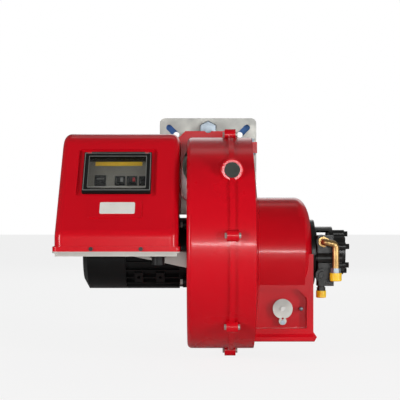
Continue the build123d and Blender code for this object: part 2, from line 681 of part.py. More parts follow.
# ---------------------------------------------------------------- air intake
def intake_form(inset):
    """Round intake above a square duct, drawn in by inset."""
    x0 = SCROLL_RIGHT - SCROLL_DISH
    x1 = INTAKE_RIGHT - inset
    r = INTAKE_R - inset
    dome_x = x1 - INTAKE_DOME_X + inset / 2
    curve = EllipticalCenterArc((dome_x, r - INTAKE_DOME_R), x1 - dome_x, INTAKE_DOME_R, start_angle=0, arc_size=90)
    walls = Polyline(curve @ 0, (x1, 0), (x0, 0), (x0, r), curve @ 1)
    turned = Pos(0, SHAFT_Y, SHAFT_Z) * revolve(Plane.XY * make_face(curve + walls), Axis.X, 360)
    duct = block(x0, x1, DUCT_REAR_Y + inset, DUCT_FRONT_Y - inset, FOOT_Z - (1 if inset else 0), SHAFT_Z)
    return turned + duct


def intake_foot():
    """Flared foot round the bottom of the duct."""
    low, mid = FOOT_Z, FOOT_Z + FOOT_H * 0.45
    x1, y0, y1 = INTAKE_RIGHT, DUCT_REAR_Y, DUCT_FRONT_Y
    outline = Polyline((x1 - 20, low), (x1 + 2, low), (x1 + FOOT_FLARE, mid), (x1, mid + 10), (x1 - 20, mid + 10), close=True)
    side = extrude(xz(y1) * make_face(outline), y1 - y0)
    lip = Polyline((y0, low), (y0 - 4, low + 2), (y0 - 4, mid), (y0, mid + 6), (y0 + 15, mid + 6), (y0 + 15, low), close=True)
    rear = extrude(yz(SCROLL_RIGHT - SCROLL_DISH) * make_face(lip), INTAKE_RIGHT - SCROLL_RIGHT + SCROLL_DISH)
    return side + rear


def raised_band():
    """Raised face round the service side of the round intake."""
    x0, x1 = SCROLL_RIGHT - SCROLL_DISH, POCKET_RIGHT - 4
    high, low = 40, -32
    ring = Circle(INTAKE_R + BAND_H) - Circle(INTAKE_R - 3)
    reach = INTAKE_R * 1.6
    wedge = Polyline(
        (0, 0), (-reach * cos(radians(high)), reach * sin(radians(high))), (-reach, 0),
        (-reach * cos(radians(low)), reach * sin(radians(low))), close=True,
    )
    return extrude(yz(x0) * Pos(SHAFT_Y, SHAFT_Z) * (ring & make_face(wedge)), x1 - x0)


def service_pocket():
    """The recess that holds the damper disc, with a gusset left in its top corner."""
    x0, x1 = SCROLL_RIGHT - SCROLL_DISH - 5, POCKET_RIGHT
    outline = Polyline(
        (x0, POCKET_BOTTOM), (x1, POCKET_BOTTOM), (x1, POCKET_TOP - POCKET_GUSSET), (x1 - POCKET_GUSSET, POCKET_TOP),
        (x0, POCKET_TOP), close=True,
    )
    return extrude(xz(DUCT_REAR_Y + POCKET_DEPTH) * make_face(outline), POCKET_DEPTH + 30)


def intake_housing():
    far = 400
    hollow = intake_form(INTAKE_WALL)
    # the hollow stays behind the floor of the pocket
    floor_y = DUCT_REAR_Y + POCKET_DEPTH + INTAKE_WALL
    hollow -= block(SCROLL_RIGHT - 30, POCKET_RIGHT + INTAKE_WALL, DUCT_REAR_Y - 50, floor_y, FOOT_Z - 10, POCKET_TOP + INTAKE_WALL)
    body = intake_form(0) + intake_foot() + raised_band()
    body -= service_pocket()
    body -= hollow
    # the damper's seat: a ledge on each side of the flap
    seat = DAMPER_HALF_W + 1.5
    ledge = block(SCROLL_RIGHT, INTAKE_RIGHT - 1, floor_y - 1, DUCT_FRONT_Y - 1, DAMPER_Z - 3, DAMPER_Z + 3)
    body += ledge - block(DAMPER_X - seat, DAMPER_X + seat, floor_y, DUCT_FRONT_Y - INTAKE_WALL, DAMPER_Z - 5, DAMPER_Z + 5)
    body -= rod_y(DUCT_REAR_Y - 20, DUCT_FRONT_Y + 20, SPINDLE_R + RUN_GAP, DAMPER_X, DAMPER_Z)
    body -= scroll_form(0)
    body -= block(-far, SCROLL_RIGHT - SCROLL_DISH, -2 * far, far, -2 * far, far)
    # bearing of the pump's shaft line
    body -= rod_x(INTAKE_RIGHT - 10, INTAKE_RIGHT + 5, PUMP_LANTERN_R - PUMP_LANTERN_WALL)
    return largest(body)


def damper_flap():
    floor_y = DUCT_REAR_Y + POCKET_DEPTH + INTAKE_WALL
    y0, y1 = floor_y + 1, DUCT_FRONT_Y - INTAKE_WALL - 1
    flap = block(DAMPER_X - DAMPER_HALF_W, DAMPER_X + DAMPER_HALF_W, y0, y1, DAMPER_Z - DAMPER_T / 2, DAMPER_Z + DAMPER_T / 2)
    flap += rod_y(y0, y1, SPINDLE_R + DAMPER_T, DAMPER_X, DAMPER_Z)
    return flap - rod_y(y0 - 1, y1 + 1, SPINDLE_R, DAMPER_X, DAMPER_Z)


def damper_spindle():
    y0 = DUCT_REAR_Y + POCKET_DEPTH - DISC_STANDOFF - DISC_T - 3
    return rod_y(y0, DUCT_FRONT_Y + 4, SPINDLE_R, DAMPER_X, DAMPER_Z)


def damper_disc():
    """Indicator disc with a clamp lug below."""
    y1 = DUCT_REAR_Y + POCKET_DEPTH - DISC_STANDOFF
    lug_z = DAMPER_Z - DISC_LUG_DROP
    disc = rod_y(y1 - DISC_T, y1, DISC_R, DAMPER_X, DAMPER_Z) + rod_y(y1 - DISC_T, y1, DISC_LUG_R, DAMPER_X, lug_z)
    disc += rod_y(y1, y1 + DISC_STANDOFF - 1, SPINDLE_R * 1.7, DAMPER_X, DAMPER_Z)
    disc -= rod_y(y1 - DISC_T - 1, y1 + 1, 2.2, DAMPER_X, lug_z + 5)
    disc -= rod_y(y1 - DISC_T - 1, y1 + 1, 2.0, DAMPER_X, lug_z - 2.5)
    return disc - rod_y(y1 - DISC_T - 1, y1 + DISC_STANDOFF, SPINDLE_R, DAMPER_X, DAMPER_Z)


def disc_screw():
    y1 = DUCT_REAR_Y + POCKET_DEPTH - DISC_STANDOFF
    z = DAMPER_Z - DISC_LUG_DROP - 2.5
    return rod_y(y1 - DISC_T, y1 + 3, 2.0, DAMPER_X, z) + rod_y(y1 - DISC_T - 3.5, y1 - DISC_T, 4.5, DAMPER_X, z)


def stop_pin():
    """Round-headed pin that the damper disc is read against."""
    y1 = DUCT_REAR_Y + POCKET_DEPTH
    x = DAMPER_X + STOP_PIN_OUT
    pin = rod_y(y1 - 9, y1, 2.5, x, DAMPER_Z)
    head = Pos(x, y1 - 9, DAMPER_Z) * Sphere(4.0)
    return pin + head


# ---------------------------------------------------------------- pump and its pipework
def pump_lantern():
    """Open bracket that carries the pump on the intake."""
    x0, x1 = INTAKE_RIGHT, PUMP_FACE
    body = rod_x(x0, x1, PUMP_FLANGE_R)
    body += rod_x(x1, PUMP_BODY_X0, PUMP_LANTERN_R)
    body -= rod_x(x0 - 1, PUMP_BODY_X0 - 6, PUMP_LANTERN_R - PUMP_LANTERN_WALL)
    body -= rod_x(PUMP_BODY_X0 - 8, PUMP_BODY_X0 + 1, PUMP_BODY_R * 0.5)
    for angle in (50, 140, 320):
        window = block(x1 + 4, PUMP_BODY_X0 - 8, 30, 90, -17, 17)
        body -= Pos(0, SHAFT_Y, SHAFT_Z) * Rot(angle, 0, 0) * window
    return body


def pump_body():
    """Gear case with its valve block below."""
    x0, x1 = PUMP_BODY_X0, PUMP_BODY_X1
    body = rod_x(x0, x1, PUMP_BODY_R)
    ears = [
        rod_x(x0, x1, 8.0, SHAFT_Y + PUMP_BODY_R * cos(radians(a)), SHAFT_Z + PUMP_BODY_R * sin(radians(a)))
        for a in pump_bolt_angles()
    ]
    body = body + ears
    return body - rod_x(x0 - 1, x0 + 10, SHAFT_R + 1)


def pump_bolt_angles():
    return [n * 60 + 40 for n in range(6)]


def pump_cover():
    x0, x1 = PUMP_BODY_X1, PUMP_BODY_X1 + PUMP_COVER_T
    ears = [
        rod_x(x0, x1, 8.0, SHAFT_Y + PUMP_BODY_R * cos(radians(a)), SHAFT_Z + PUMP_BODY_R * sin(radians(a)))
        for a in pump_bolt_angles()
    ]
    return rod_x(x0, x1, PUMP_BODY_R) + ears


def pump_bolts():
    x0 = PUMP_BODY_X1 + PUMP_COVER_T
    return union([
        hex_x(x0, x0 + 7, PUMP_BOLT_R * 3.0, SHAFT_Y + PUMP_BODY_R * cos(radians(a)), SHAFT_Z + PUMP_BODY_R * sin(radians(a)))
        for a in pump_bolt_angles()
    ])


def valve_block():
    """Port block on the service side of the lantern, with the inlet's hexagon below."""
    y0, y1 = VALVE_REAR_Y, SHAFT_Y - PUMP_LANTERN_R + 12
    x0, x1 = PUMP_FACE + FIT_GAP, PUMP_BODY_X0 - 2
    upper = block(x0, x1, y0 + 4, y1, SHAFT_Z - 12, UNION_Z + 12)
    lower = block(x0 + 2, x1, y0 + 8, y1, VALVE_LOW_Z, SHAFT_Z - 12)
    body = fillet(upper.edges().filter_by(Axis.Z), 3.0) + fillet(lower.edges().filter_by(Axis.Z), 3.0)
    body += rod_y(y0, y1, PORT_BOSS_R, UNION_X, UNION_Z)
    body += rod_y(y0 - 2, y1, PORT_BOSS_R, VALVE_X, PLUG_Z)
    body += rod_z(VALVE_LOW_Z - 3, VALVE_LOW_Z + 1, 7.0, VALVE_X, INLET_Y)
    body += hex_z(VALVE_LOW_Z - 10, VALVE_LOW_Z - 3, 15.0, VALVE_X, INLET_Y)
    # the block's inner side is hollowed to sit on the round lantern, its outer side holds the regulator
    body -= rod_x(PUMP_FACE - 10, PUMP_BODY_X0 + 10, PUMP_LANTERN_R)
    body -= rod_x(PUMP_FACE - 10, PUMP_FACE + FIT_GAP, PUMP_FLANGE_R + 1)
    return body - rod_x(PUMP_FACE - 10, PUMP_BODY_X0 + 20, REGULATOR_R, REGULATOR_Y, REGULATOR_Z)


def regulator():
    """Pressure regulator barrel lying along the block."""
    barrel = rod_x(PUMP_FACE + 2, PUMP_BODY_X0 + 12, REGULATOR_R, REGULATOR_Y, REGULATOR_Z)
    return barrel + rod_x(PUMP_FACE - 2, PUMP_FACE + 2, REGULATOR_R - 3, REGULATOR_Y, REGULATOR_Z)


def pressure_plug():
    y1 = VALVE_REAR_Y - 2
    plug = rod_y(y1 - 7, y1, 8.0, VALVE_X, PLUG_Z)
    return plug - extrude(xz(y1 - 3) * Pos(VALVE_X, PLUG_Z) * RegularPolygon(3, 6), 5)


def brass_union():
    collar = rod_y(VALVE_REAR_Y - 3, VALVE_REAR_Y, 10.0, UNION_X, UNION_Z)
    return collar + hex_y(UNION_END_Y, VALVE_REAR_Y - 3, 19.0, UNION_X, UNION_Z)


def return_pipe():
    """Bent brass pipe, out of the union, across and down."""
    start = (UNION_X, UNION_END_Y, UNION_Z)
    out = (UNION_X, DROP_Y, UNION_Z)
    turn = (DROP_X, DROP_Y, UNION_Z - 4)
    end = (DROP_X, DROP_Y, DROP_END_Z)
    path = FilletPolyline(start, out, turn, end, radius=[8.0, 9.0])
    section = Plane(origin=start, z_dir=(0, -1, 0)) * Circle(PIPE_R)
    return sweep(section, path=path)


def pipe_nut():
    return hex_z(DROP_END_Z - PIPE_NUT_T, DROP_END_Z, 17.0, DROP_X, DROP_Y)


def port_cap(x, y, top, radius, height):
    """Push-on transit cap with a rounded end."""
    cap = rod_z(top - height, top, radius, x, y)
    return fillet(cap.edges().sort_by(Axis.Z)[0], 2.0)


def return_cap():
    return port_cap(DROP_X, DROP_Y, DROP_END_Z - PIPE_NUT_T, 11.5, 16.0)


def inlet_cap():
    return port_cap(VALVE_X, INLET_Y, VALVE_LOW_Z - 10, 10.0, 14.0)


# ---------------------------------------------------------------- control box
SLOPE_LEN = hypot(SLOPE_RUN, SLOPE_RISE)
SLOPE_UP = (0.0, SLOPE_RUN / SLOPE_LEN, SLOPE_RISE / SLOPE_LEN)
SLOPE_OUT = (0.0, -SLOPE_RISE / SLOPE_LEN, SLOPE_RUN / SLOPE_LEN)


def slope(depth=0.0, up=0.0, x=0.0):
    """Plane on the sloping face: x is +X, y runs up the slope, and it faces outwards."""
    origin = (
        x,
        BOX_REAR_Y + up * SLOPE_UP[1] - depth * SLOPE_OUT[1],
        BOX_CREASE_Z + up * SLOPE_UP[2] - depth * SLOPE_OUT[2],
    )
    return Plane(origin=origin, x_dir=(1, 0, 0), z_dir=SLOPE_OUT)


def box_form(inset):
    """Cover outline: upright below the crease, sloping above it, rounded into the flat top."""
    y0, y1 = BOX_REAR_Y, BOX_FRONT_Y
    knee_y, knee_z = y0 + SLOPE_RUN, BOX_CREASE_Z + SLOPE_RISE
    drop = BOX_TOP - knee_z
    crown_y = knee_y + drop * SLOPE_RUN / SLOPE_RISE
    outline = FilletPolyline(
        (y0, BOX_BOTTOM), (y0, BOX_CREASE_Z), (crown_y, BOX_TOP), (y1, BOX_TOP), (y1, BOX_BOTTOM),
        radius=[BOX_CREASE_R, BOX_CROWN_R, BOX_SIDE_R],
    )
    face = make_face(outline + Line(outline @ 1, outline @ 0))
    if inset:
        face = offset(face, -inset)
    x0, x1 = BOX_LEFT + inset, BOX_RIGHT - inset
    body = extrude(yz(x0) * face, x1 - x0)
    radius = BOX_SIDE_R - inset
    # both ends are rounded, except along the open bottom
    ends = body.faces().sort_by(Axis.X)
    rims = [e for f in (ends[0], ends[-1]) for e in f.edges() if e.center().Z > BOX_BOTTOM + inset + 1]
    body = fillet(rims, radius)
    if inset:
        body += block(x0 + radius, x1 - radius, y0 + inset, y1 - inset, BOX_BOTTOM - 1, BOX_BOTTOM + inset + 5)
    return body


def pad_slope(depth, up, w, h, t, r):
    """Rounded slab lying parallel to the sloping face, its back at the given depth."""
    return extrude(slope(depth, up, WINDOW_X) * RectangleRounded(w, h, r), t)


def control_cover():
    body = box_form(0)
    x0, x1 = BOX_LEFT - LIP_OUT, BOX_RIGHT + LIP_OUT
    lip = block(x0, x1, BOX_REAR_Y - LIP_OUT, NOTCH_Y, BOX_BOTTOM, BOX_BOTTOM + LIP_H)
    body += fillet(lip.edges().filter_by(Axis.Z).sort_by(Axis.Y)[:2], 10.0)
    body += pad_slope(0, BADGE_V, BADGE_PAD_W, BADGE_PAD_H, BADGE_PAD_T, 4)
    body -= pad_slope(RECESS_DEPTH, WINDOW_V, RECESS_W, RECESS_H, 30, 6)
    # a well leads from the window down to the switch panel
    clear_w, clear_h = WINDOW_W - LID_BORDER, WINDOW_H - LID_BORDER
    well_t = PANEL_DEPTH - RECESS_DEPTH - BOX_WALL
    well = pad_slope(PANEL_DEPTH, WINDOW_V, clear_w + 2 * BOX_WALL, clear_h + 2 * BOX_WALL, well_t, 4)
    floor = pad_slope(RECESS_DEPTH + BOX_WALL, WINDOW_V, RECESS_W, RECESS_H, BOX_WALL, 6)
    body -= box_form(BOX_WALL) - well - floor
    body -= pad_slope(PANEL_DEPTH + 1, WINDOW_V, clear_w, clear_h, PANEL_DEPTH + 5, 3)
    # the boiler side stands higher, to clear the motor
    body -= block(x0 - 1, x1 + 1, NOTCH_Y, BOX_FRONT_Y + 10, BOX_BOTTOM - 10, NOTCH_Z)
    for side in (-1, 1):
        body += hinge_ear(side)
    for x in cover_screw_xs():
        body -= rod_y(BOX_REAR_Y - 10, BOX_REAR_Y + 10, 2.0, x, BOX_BOTTOM + 5)
    return largest(body)


def cover_screw_xs():
    width = BOX_RIGHT - BOX_LEFT
    return [BOX_LEFT + width * share for share in (0.30, 0.70)]


def cover_screws():
    y = BOX_REAR_Y - LIP_OUT
    return union([
        rod_y(y, y + LIP_OUT + 6, 2.0, x, BOX_BOTTOM + 5) + rod_y(y - 2.5, y, 3.8, x, BOX_BOTTOM + 5)
        for x in cover_screw_xs()
    ])


def base_tray():
    """Sheet tray, folded round the motor, that closes the cover's open bottom."""
    x0, x1 = BOX_LEFT - LIP_OUT, BOX_RIGHT + LIP_OUT
    low = BOX_BOTTOM - TRAY_T
    plate = block(x0, x1, BOX_REAR_Y - LIP_OUT, NOTCH_Y, low, BOX_BOTTOM)
    plate = fillet(plate.edges().filter_by(Axis.Z).sort_by(Axis.Y)[:2], 10.0)
    plate += block(BOX_LEFT, BOX_RIGHT, NOTCH_Y, NOTCH_Y + TRAY_T, low, NOTCH_Z)
    plate += block(BOX_LEFT, BOX_RIGHT, NOTCH_Y, BOX_FRONT_Y, NOTCH_Z - TRAY_T, NOTCH_Z)
    rim = block(x0 + 5, x1 - 5, BOX_REAR_Y + 2, NOTCH_Y, low - TRAY_RIM, low)
    rim -= block(x0 + 7, x1 - 7, BOX_REAR_Y + 4, 0, low - 60, BOX_BOTTOM)
    plate += rim - block(BRACKET_LEFT, x1, BRACKET_Y, NOTCH_Y + 1, low - 60, low)
    return plate - rod_z(low - 20, low + 20, GLAND_STEM_R, GLAND_X, GLAND_Y)


def cable_gland():
    z = BOX_BOTTOM - TRAY_T
    body = rod_z(z, z + TRAY_T, GLAND_STEM_R, GLAND_X, GLAND_Y) + hex_z(z - 9, z, 26.0, GLAND_X, GLAND_Y)
    body += rod_z(z - 23, z - 9, 12.0, GLAND_X, GLAND_Y)
    body += hex_z(z + TRAY_T, z + TRAY_T + 5, 24.0, GLAND_X, GLAND_Y)
    return body - rod_z(z - 30, z + 20, GLAND_BORE_R, GLAND_X, GLAND_Y)


def panel_plate():
    return pad_slope(PANEL_DEPTH + PANEL_T, WINDOW_V, WINDOW_W + 2, WINDOW_H + 2, PANEL_T, 3)


def hinge_rod(x0, x1, r):
    """Cylinder on the lid's hinge axis, between two distances from the window's middle."""
    spot = slope(HINGE_DEPTH, HINGE_UP, WINDOW_X)
    return spot.location * (Pos((x0 + x1) / 2, 0, 0) * Rot(0, 90, 0) * Cylinder(r, x1 - x0))


def hinge_ear(side):
    """Small ear on the cover that holds one end of the hinge pin."""
    x = side * EAR_X
    foot = slope(RECESS_DEPTH + 1, HINGE_UP, WINDOW_X + x) * Rectangle(EAR_W, 2 * HINGE_R)
    ear = extrude(foot, RECESS_DEPTH + 1 - HINGE_DEPTH) + hinge_rod(x - EAR_W / 2, x + EAR_W / 2, HINGE_R)
    return ear - hinge_rod(x - EAR_W, x + EAR_W, HINGE_PIN_R)


def window_lid():
    """Hinged frame round the clear pane, with its barrel and two pins along the top edge."""
    inner = RectangleRounded(WINDOW_W - 2 * LID_BORDER, WINDOW_H - 2 * LID_BORDER, 2)
    back = slope(LID_BACK, WINDOW_V, WINDOW_X)
    frame = extrude(back * (RectangleRounded(WINDOW_W, WINDOW_H, 3) - inner), LID_T)
    frame -= extrude(back * pane_face(), PANE_T)
    # the top edge is cut back to the barrel, and cut away round the cover's ears
    edge = slope(LID_BACK + 1, HINGE_UP + HINGE_R, WINDOW_X)
    frame -= extrude(edge * Rectangle(WINDOW_W + 2, 2 * HINGE_R), LID_T + 2)
    reach = EAR_X - EAR_W / 2 - FIT_GAP
    frame += hinge_rod(-reach, reach, HINGE_R)
    for side in (-1, 1):
        notch = slope(LID_BACK + 1, HINGE_UP, WINDOW_X + side * EAR_X)
        frame -= extrude(notch * Rectangle(EAR_W + 2 * FIT_GAP, 2 * HINGE_R + 1.5), LID_T + 2)
        frame += hinge_rod(side * EAR_X - EAR_W, side * EAR_X + EAR_W, HINGE_PIN_R - RUN_GAP)
    return largest(frame)


def pane_face():
    return RectangleRounded(WINDOW_W - 1.4 * LID_BORDER, WINDOW_H - 1.4 * LID_BORDER, 2)


def window_pane():
    return extrude(slope(LID_BACK, WINDOW_V, WINDOW_X) * pane_face(), PANE_T)


def badge():
    spot = slope(-BADGE_PAD_T, BADGE_V, WINDOW_X + 4)
    return extrude(spot * RectangleRounded(BADGE_W, BADGE_H, 3), 1.0)


def switch_x(n):
    return WINDOW_X + 4 + n * SWITCH_PITCH


def switch_frame(n):
    """Snap-in frame round a rocker."""
    spot = slope(PANEL_DEPTH, SWITCH_V, switch_x(n))
    hole = SWITCH_SIDE - 5
    frame = extrude(spot * (RectangleRounded(SWITCH_SIDE, SWITCH_SIDE * 1.05, 1.5) - Rectangle(hole, hole)), 3.5)
    return frame - rocker_pin(n, ROCKER_PIN_R + RUN_GAP)


def switch_frames():
    return union([switch_frame(n) for n in range(3)])


def rocker_pin(n, r):
    spot = slope(PANEL_DEPTH, SWITCH_V, switch_x(n))
    return spot.location * (Pos(0, 0, ROCKER_PIN_UP) * Rot(90, 0, 0) * Cylinder(r, SWITCH_SIDE - 3))


def rocker(n):
    """Rocker lying on one side, turning about a pin that runs up the slope."""
    spot = slope(PANEL_DEPTH, SWITCH_V, switch_x(n))
    half = SWITCH_SIDE / 2 - 3.2
    outline = Polyline((-half, 2.0), (0, 0.6), (half, 2.0), (half, 4.6), (0, 3.6), (-half, 4.6), close=True)
    bar = extrude(Plane.XZ * make_face(outline), half, both=True)
    return spot.location * Pos(0, 0, ROCKER_PIN_UP) * Rot(0, ROCKER_TILT, 0) * bar + rocker_pin(n, ROCKER_PIN_R)


def hour_counter():
    """Small black meter left of the switches."""
    return extrude(slope(PANEL_DEPTH, SWITCH_V + 2, WINDOW_X - 34) * RectangleRounded(22, 24, 1), 4)


def panel_strip():
    """Plain coloured strip across the panel's top."""
    return extrude(slope(PANEL_DEPTH, WINDOW_V + 26, WINDOW_X) * Rectangle(92, 10), 0.6)


def support_bracket():
    """Folded sheet that carries the control box on the scroll."""
    low = BOX_BOTTOM - TRAY_T
    outline = Polyline(
        (BRACKET_LEFT, low), (SCROLL_LEFT, low), (SCROLL_LEFT, low - BRACKET_H), (BRACKET_LEFT, low - 2),
        close=True,
    )
    y0, y1 = BRACKET_Y, BRACKET_Y + BRACKET_W
    web = extrude(xz(y0 + TRAY_T) * make_face(outline), TRAY_T)
    foot = block(SCROLL_LEFT - TRAY_T, SCROLL_LEFT, y0, y1, low - BRACKET_H, low)
    return web + foot + block(BRACKET_LEFT, SCROLL_LEFT, y0, y1, low - 2, low)


def control_unit():
    """Sequence controller standing on the tray's low part."""
    unit = block(-270, -205, -400, -325, BOX_BOTTOM, BOX_BOTTOM + 75)
    return fillet(unit.edges().filter_by(Axis.Z), 4)


def ignition_transformer():
    """Ignition transformer standing on the tray's raised part."""
    case = block(-180, -110, -290, -180, NOTCH_Z, NOTCH_Z + 60)
    return fillet(case.edges().filter_by(Axis.Z), 6)


# ---------------------------------------------------------------- build
def build():
    os.makedirs("parts", exist_ok=True)
    left, right = scroll_halves()
    pieces = {
        "mounting_plate": mounting_plate(), "flange_gasket": flange_gasket(), "flange_studs": flange_studs(),
        "flange_nuts": flange_nuts(), "neck_casting": neck_casting(), "blast_tube": blast_tube(), "clamp_screw": clamp_screw(), "head_spider": head_spider(),
        "nozzle_line": nozzle_line(), "flame_disc": flame_disc(), "electrodes": electrodes(),
        "scroll_left_half": left, "scroll_right_half": right, "scroll_bolts": scroll_bolts(),
        "sight_glass": sight_glass(), "inlet_ring": inlet_ring(),
        "fan_wheel": fan_wheel(), "motor_shaft": motor_shaft(), "drive_coupling": drive_coupling(),
        "motor_fan": motor_fan(), "motor_frame": motor_frame(), "motor_shield": motor_shield(),
        "motor_bolts": motor_bolts(), 
        "motor_cowl": motor_cowl(), "intake_housing": intake_housing(),
        "damper_flap": damper_flap(), "damper_spindle": damper_spindle(), "damper_disc": damper_disc(),
        "disc_screw": disc_screw(), "stop_pin": stop_pin(), "pump_lantern": pump_lantern(),
        "pump_body": pump_body(), "pump_cover": pump_cover(), "pump_bolts": pump_bolts(),
        "valve_block": valve_block(), "regulator": regulator(), "pressure_plug": pressure_plug(),
        "brass_union": brass_union(), "return_pipe": return_pipe(), "pipe_nut": pipe_nut(),
        "return_cap": return_cap(), "inlet_cap": inlet_cap(),
        "control_cover": control_cover(), "cover_screws": cover_screws(), "base_tray": base_tray(),
        "cable_gland": cable_gland(), "panel_plate": panel_plate(), "window_lid": window_lid(),
        "window_pane": window_pane(), "badge": badge(), "hour_counter": hour_counter(), "switch_frames": switch_frames(),
        "panel_strip": panel_strip(), "support_bracket": support_bracket(), "control_unit": control_unit(),
        "ignition_transformer": ignition_transformer(),
    }
    for n, side in enumerate(("left", "middle", "right")):
        pieces[f"rocker_{side}"] = rocker(n)
    for name, shape in pieces.items():
        export_step(shape, f"parts/{name}.step")
        print(name, len(shape.solids()), round(shape.volume))


build()
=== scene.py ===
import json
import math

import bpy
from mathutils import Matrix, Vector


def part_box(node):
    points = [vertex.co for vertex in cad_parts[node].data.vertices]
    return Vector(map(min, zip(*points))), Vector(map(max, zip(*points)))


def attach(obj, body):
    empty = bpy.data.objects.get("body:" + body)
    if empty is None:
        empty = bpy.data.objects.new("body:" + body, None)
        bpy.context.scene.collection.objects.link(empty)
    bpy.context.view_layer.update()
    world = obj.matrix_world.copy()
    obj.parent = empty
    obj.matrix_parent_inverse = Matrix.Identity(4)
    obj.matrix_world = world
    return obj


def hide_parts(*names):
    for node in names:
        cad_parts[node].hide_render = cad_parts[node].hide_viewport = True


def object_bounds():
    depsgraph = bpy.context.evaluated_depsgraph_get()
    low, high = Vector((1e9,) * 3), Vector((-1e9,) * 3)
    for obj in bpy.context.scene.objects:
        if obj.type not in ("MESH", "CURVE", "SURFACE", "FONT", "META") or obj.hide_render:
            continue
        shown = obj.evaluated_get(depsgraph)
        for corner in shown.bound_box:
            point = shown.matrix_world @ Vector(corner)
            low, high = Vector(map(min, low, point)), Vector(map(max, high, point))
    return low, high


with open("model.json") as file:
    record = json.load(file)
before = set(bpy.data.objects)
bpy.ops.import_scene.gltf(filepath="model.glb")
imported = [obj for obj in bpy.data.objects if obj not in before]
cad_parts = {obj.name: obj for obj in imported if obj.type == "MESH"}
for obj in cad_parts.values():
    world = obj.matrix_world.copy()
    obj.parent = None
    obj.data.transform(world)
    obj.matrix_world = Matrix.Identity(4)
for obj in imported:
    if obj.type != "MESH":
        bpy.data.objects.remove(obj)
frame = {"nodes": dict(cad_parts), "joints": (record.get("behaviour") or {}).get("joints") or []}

# %% [markdown]
# A pressure-jet burner is mostly painted castings: a red fan scroll, a red air intake and a red
# sheet cover over the controls.  Their shapes come in finished, so the work here is what the
# surfaces are made of, a few small trim pieces, and the light.  The box round the object is kept
# first, and its lowest point later sets the floor.

cad_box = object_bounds()
nodes = frame["nodes"]
print("nodes", len(nodes), "box", [list(corner) for corner in cad_box])

# %% [markdown]
# Every finish below shares three effects.  Grain is the fine unevenness of a cast or sprayed face,
# which only tilts the light.  Mottle is a slow change of tone across a piece, from handling, dust
# and uneven film.  Specks are the small dark pits and scuffs that a used casting collects.  Each is
# a node group, built once, so that one change reaches every finish.

# %% Shared effects


def new_group(title, inputs, output):
    """An empty node group with float inputs and one float output."""
    group = bpy.data.node_groups.new(title, "ShaderNodeTree")
    group.interface.new_socket("Vector", in_out="INPUT", socket_type="NodeSocketVector")
    for name, value in inputs.items():
        socket = group.interface.new_socket(name, in_out="INPUT", socket_type="NodeSocketFloat")
        socket.default_value = value
    group.interface.new_socket(output, in_out="OUTPUT", socket_type="NodeSocketFloat")
    return group, group.nodes.new("NodeGroupInput"), group.nodes.new("NodeGroupOutput")


def grain_group():
    """Height of a sprayed or cast skin: fine noise over a coarser roll."""
    group, given, out = new_group("grain", {"Scale": 600.0, "Roll": 0.5}, "Height")
    fine = group.nodes.new("ShaderNodeTexNoise")
    coarse = group.nodes.new("ShaderNodeTexNoise")
    quarter = group.nodes.new("ShaderNodeMath")
    quarter.operation = "MULTIPLY"
    quarter.inputs[1].default_value = 0.2
    blend = group.nodes.new("ShaderNodeMix")
    join = group.links.new
    join(given.outputs["Vector"], fine.inputs["Vector"])
    join(given.outputs["Vector"], coarse.inputs["Vector"])
    join(given.outputs["Scale"], fine.inputs["Scale"])
    join(given.outputs["Scale"], quarter.inputs[0])
    join(quarter.outputs[0], coarse.inputs["Scale"])
    join(given.outputs["Roll"], blend.inputs["Factor"])
    join(fine.outputs["Fac"], blend.inputs["A"])
    join(coarse.outputs["Fac"], blend.inputs["B"])
    join(blend.outputs["Result"], out.inputs["Height"])
    return group


def mottle_group():
    """Mask of slow tone changes, from 0 to 1, with the given contrast about the middle."""
    group, given, out = new_group("mottle", {"Scale": 9.0, "Contrast": 2.0}, "Mask")
    noise = group.nodes.new("ShaderNodeTexNoise")
    noise.inputs["Detail"].default_value = 5.0
    centre = group.nodes.new("ShaderNodeMath")
    centre.operation = "SUBTRACT"
    centre.inputs[1].default_value = 0.5
    spread = group.nodes.new("ShaderNodeMath")
    spread.operation = "MULTIPLY"
    lift = group.nodes.new("ShaderNodeMath")
    lift.operation = "ADD"
    lift.inputs[1].default_value = 0.5
    lift.use_clamp = True
    join = group.links.new
    join(given.outputs["Vector"], noise.inputs["Vector"])
    join(given.outputs["Scale"], noise.inputs["Scale"])
    join(noise.outputs["Fac"], centre.inputs[0])
    join(centre.outputs[0], spread.inputs[0])
    join(given.outputs["Contrast"], spread.inputs[1])
    join(spread.outputs[0], lift.inputs[0])
    join(lift.outputs[0], out.inputs["Mask"])
    return group


def speck_group():
    """Mask of scattered small specks: 1 inside a speck, 0 elsewhere."""
    group, given, out = new_group("specks", {"Scale": 160.0, "Size": 0.12}, "Mask")
    cells = group.nodes.new("ShaderNodeTexVoronoi")
    inside = group.nodes.new("ShaderNodeMath")
    inside.operation = "LESS_THAN"
    join = group.links.new
    join(given.outputs["Vector"], cells.inputs["Vector"])
    join(given.outputs["Scale"], cells.inputs["Scale"])
    join(cells.outputs["Distance"], inside.inputs[0])
    join(given.outputs["Size"], inside.inputs[1])
    join(inside.outputs[0], out.inputs["Mask"])
    return group


GRAIN = grain_group()
MOTTLE = mottle_group()
SPECKS = speck_group()
print("effects", GRAIN.name, MOTTLE.name, SPECKS.name)

# %% [markdown]
# One helper wires the three effects into a Principled shader.  The mottle mixes two tones and two
# roughnesses, the specks darken the result, and the grain drives a Bump node.  All of them read
# Object coordinates, so a pattern keeps its real size and stays on its piece in every view.

# %% A finish from its two tones


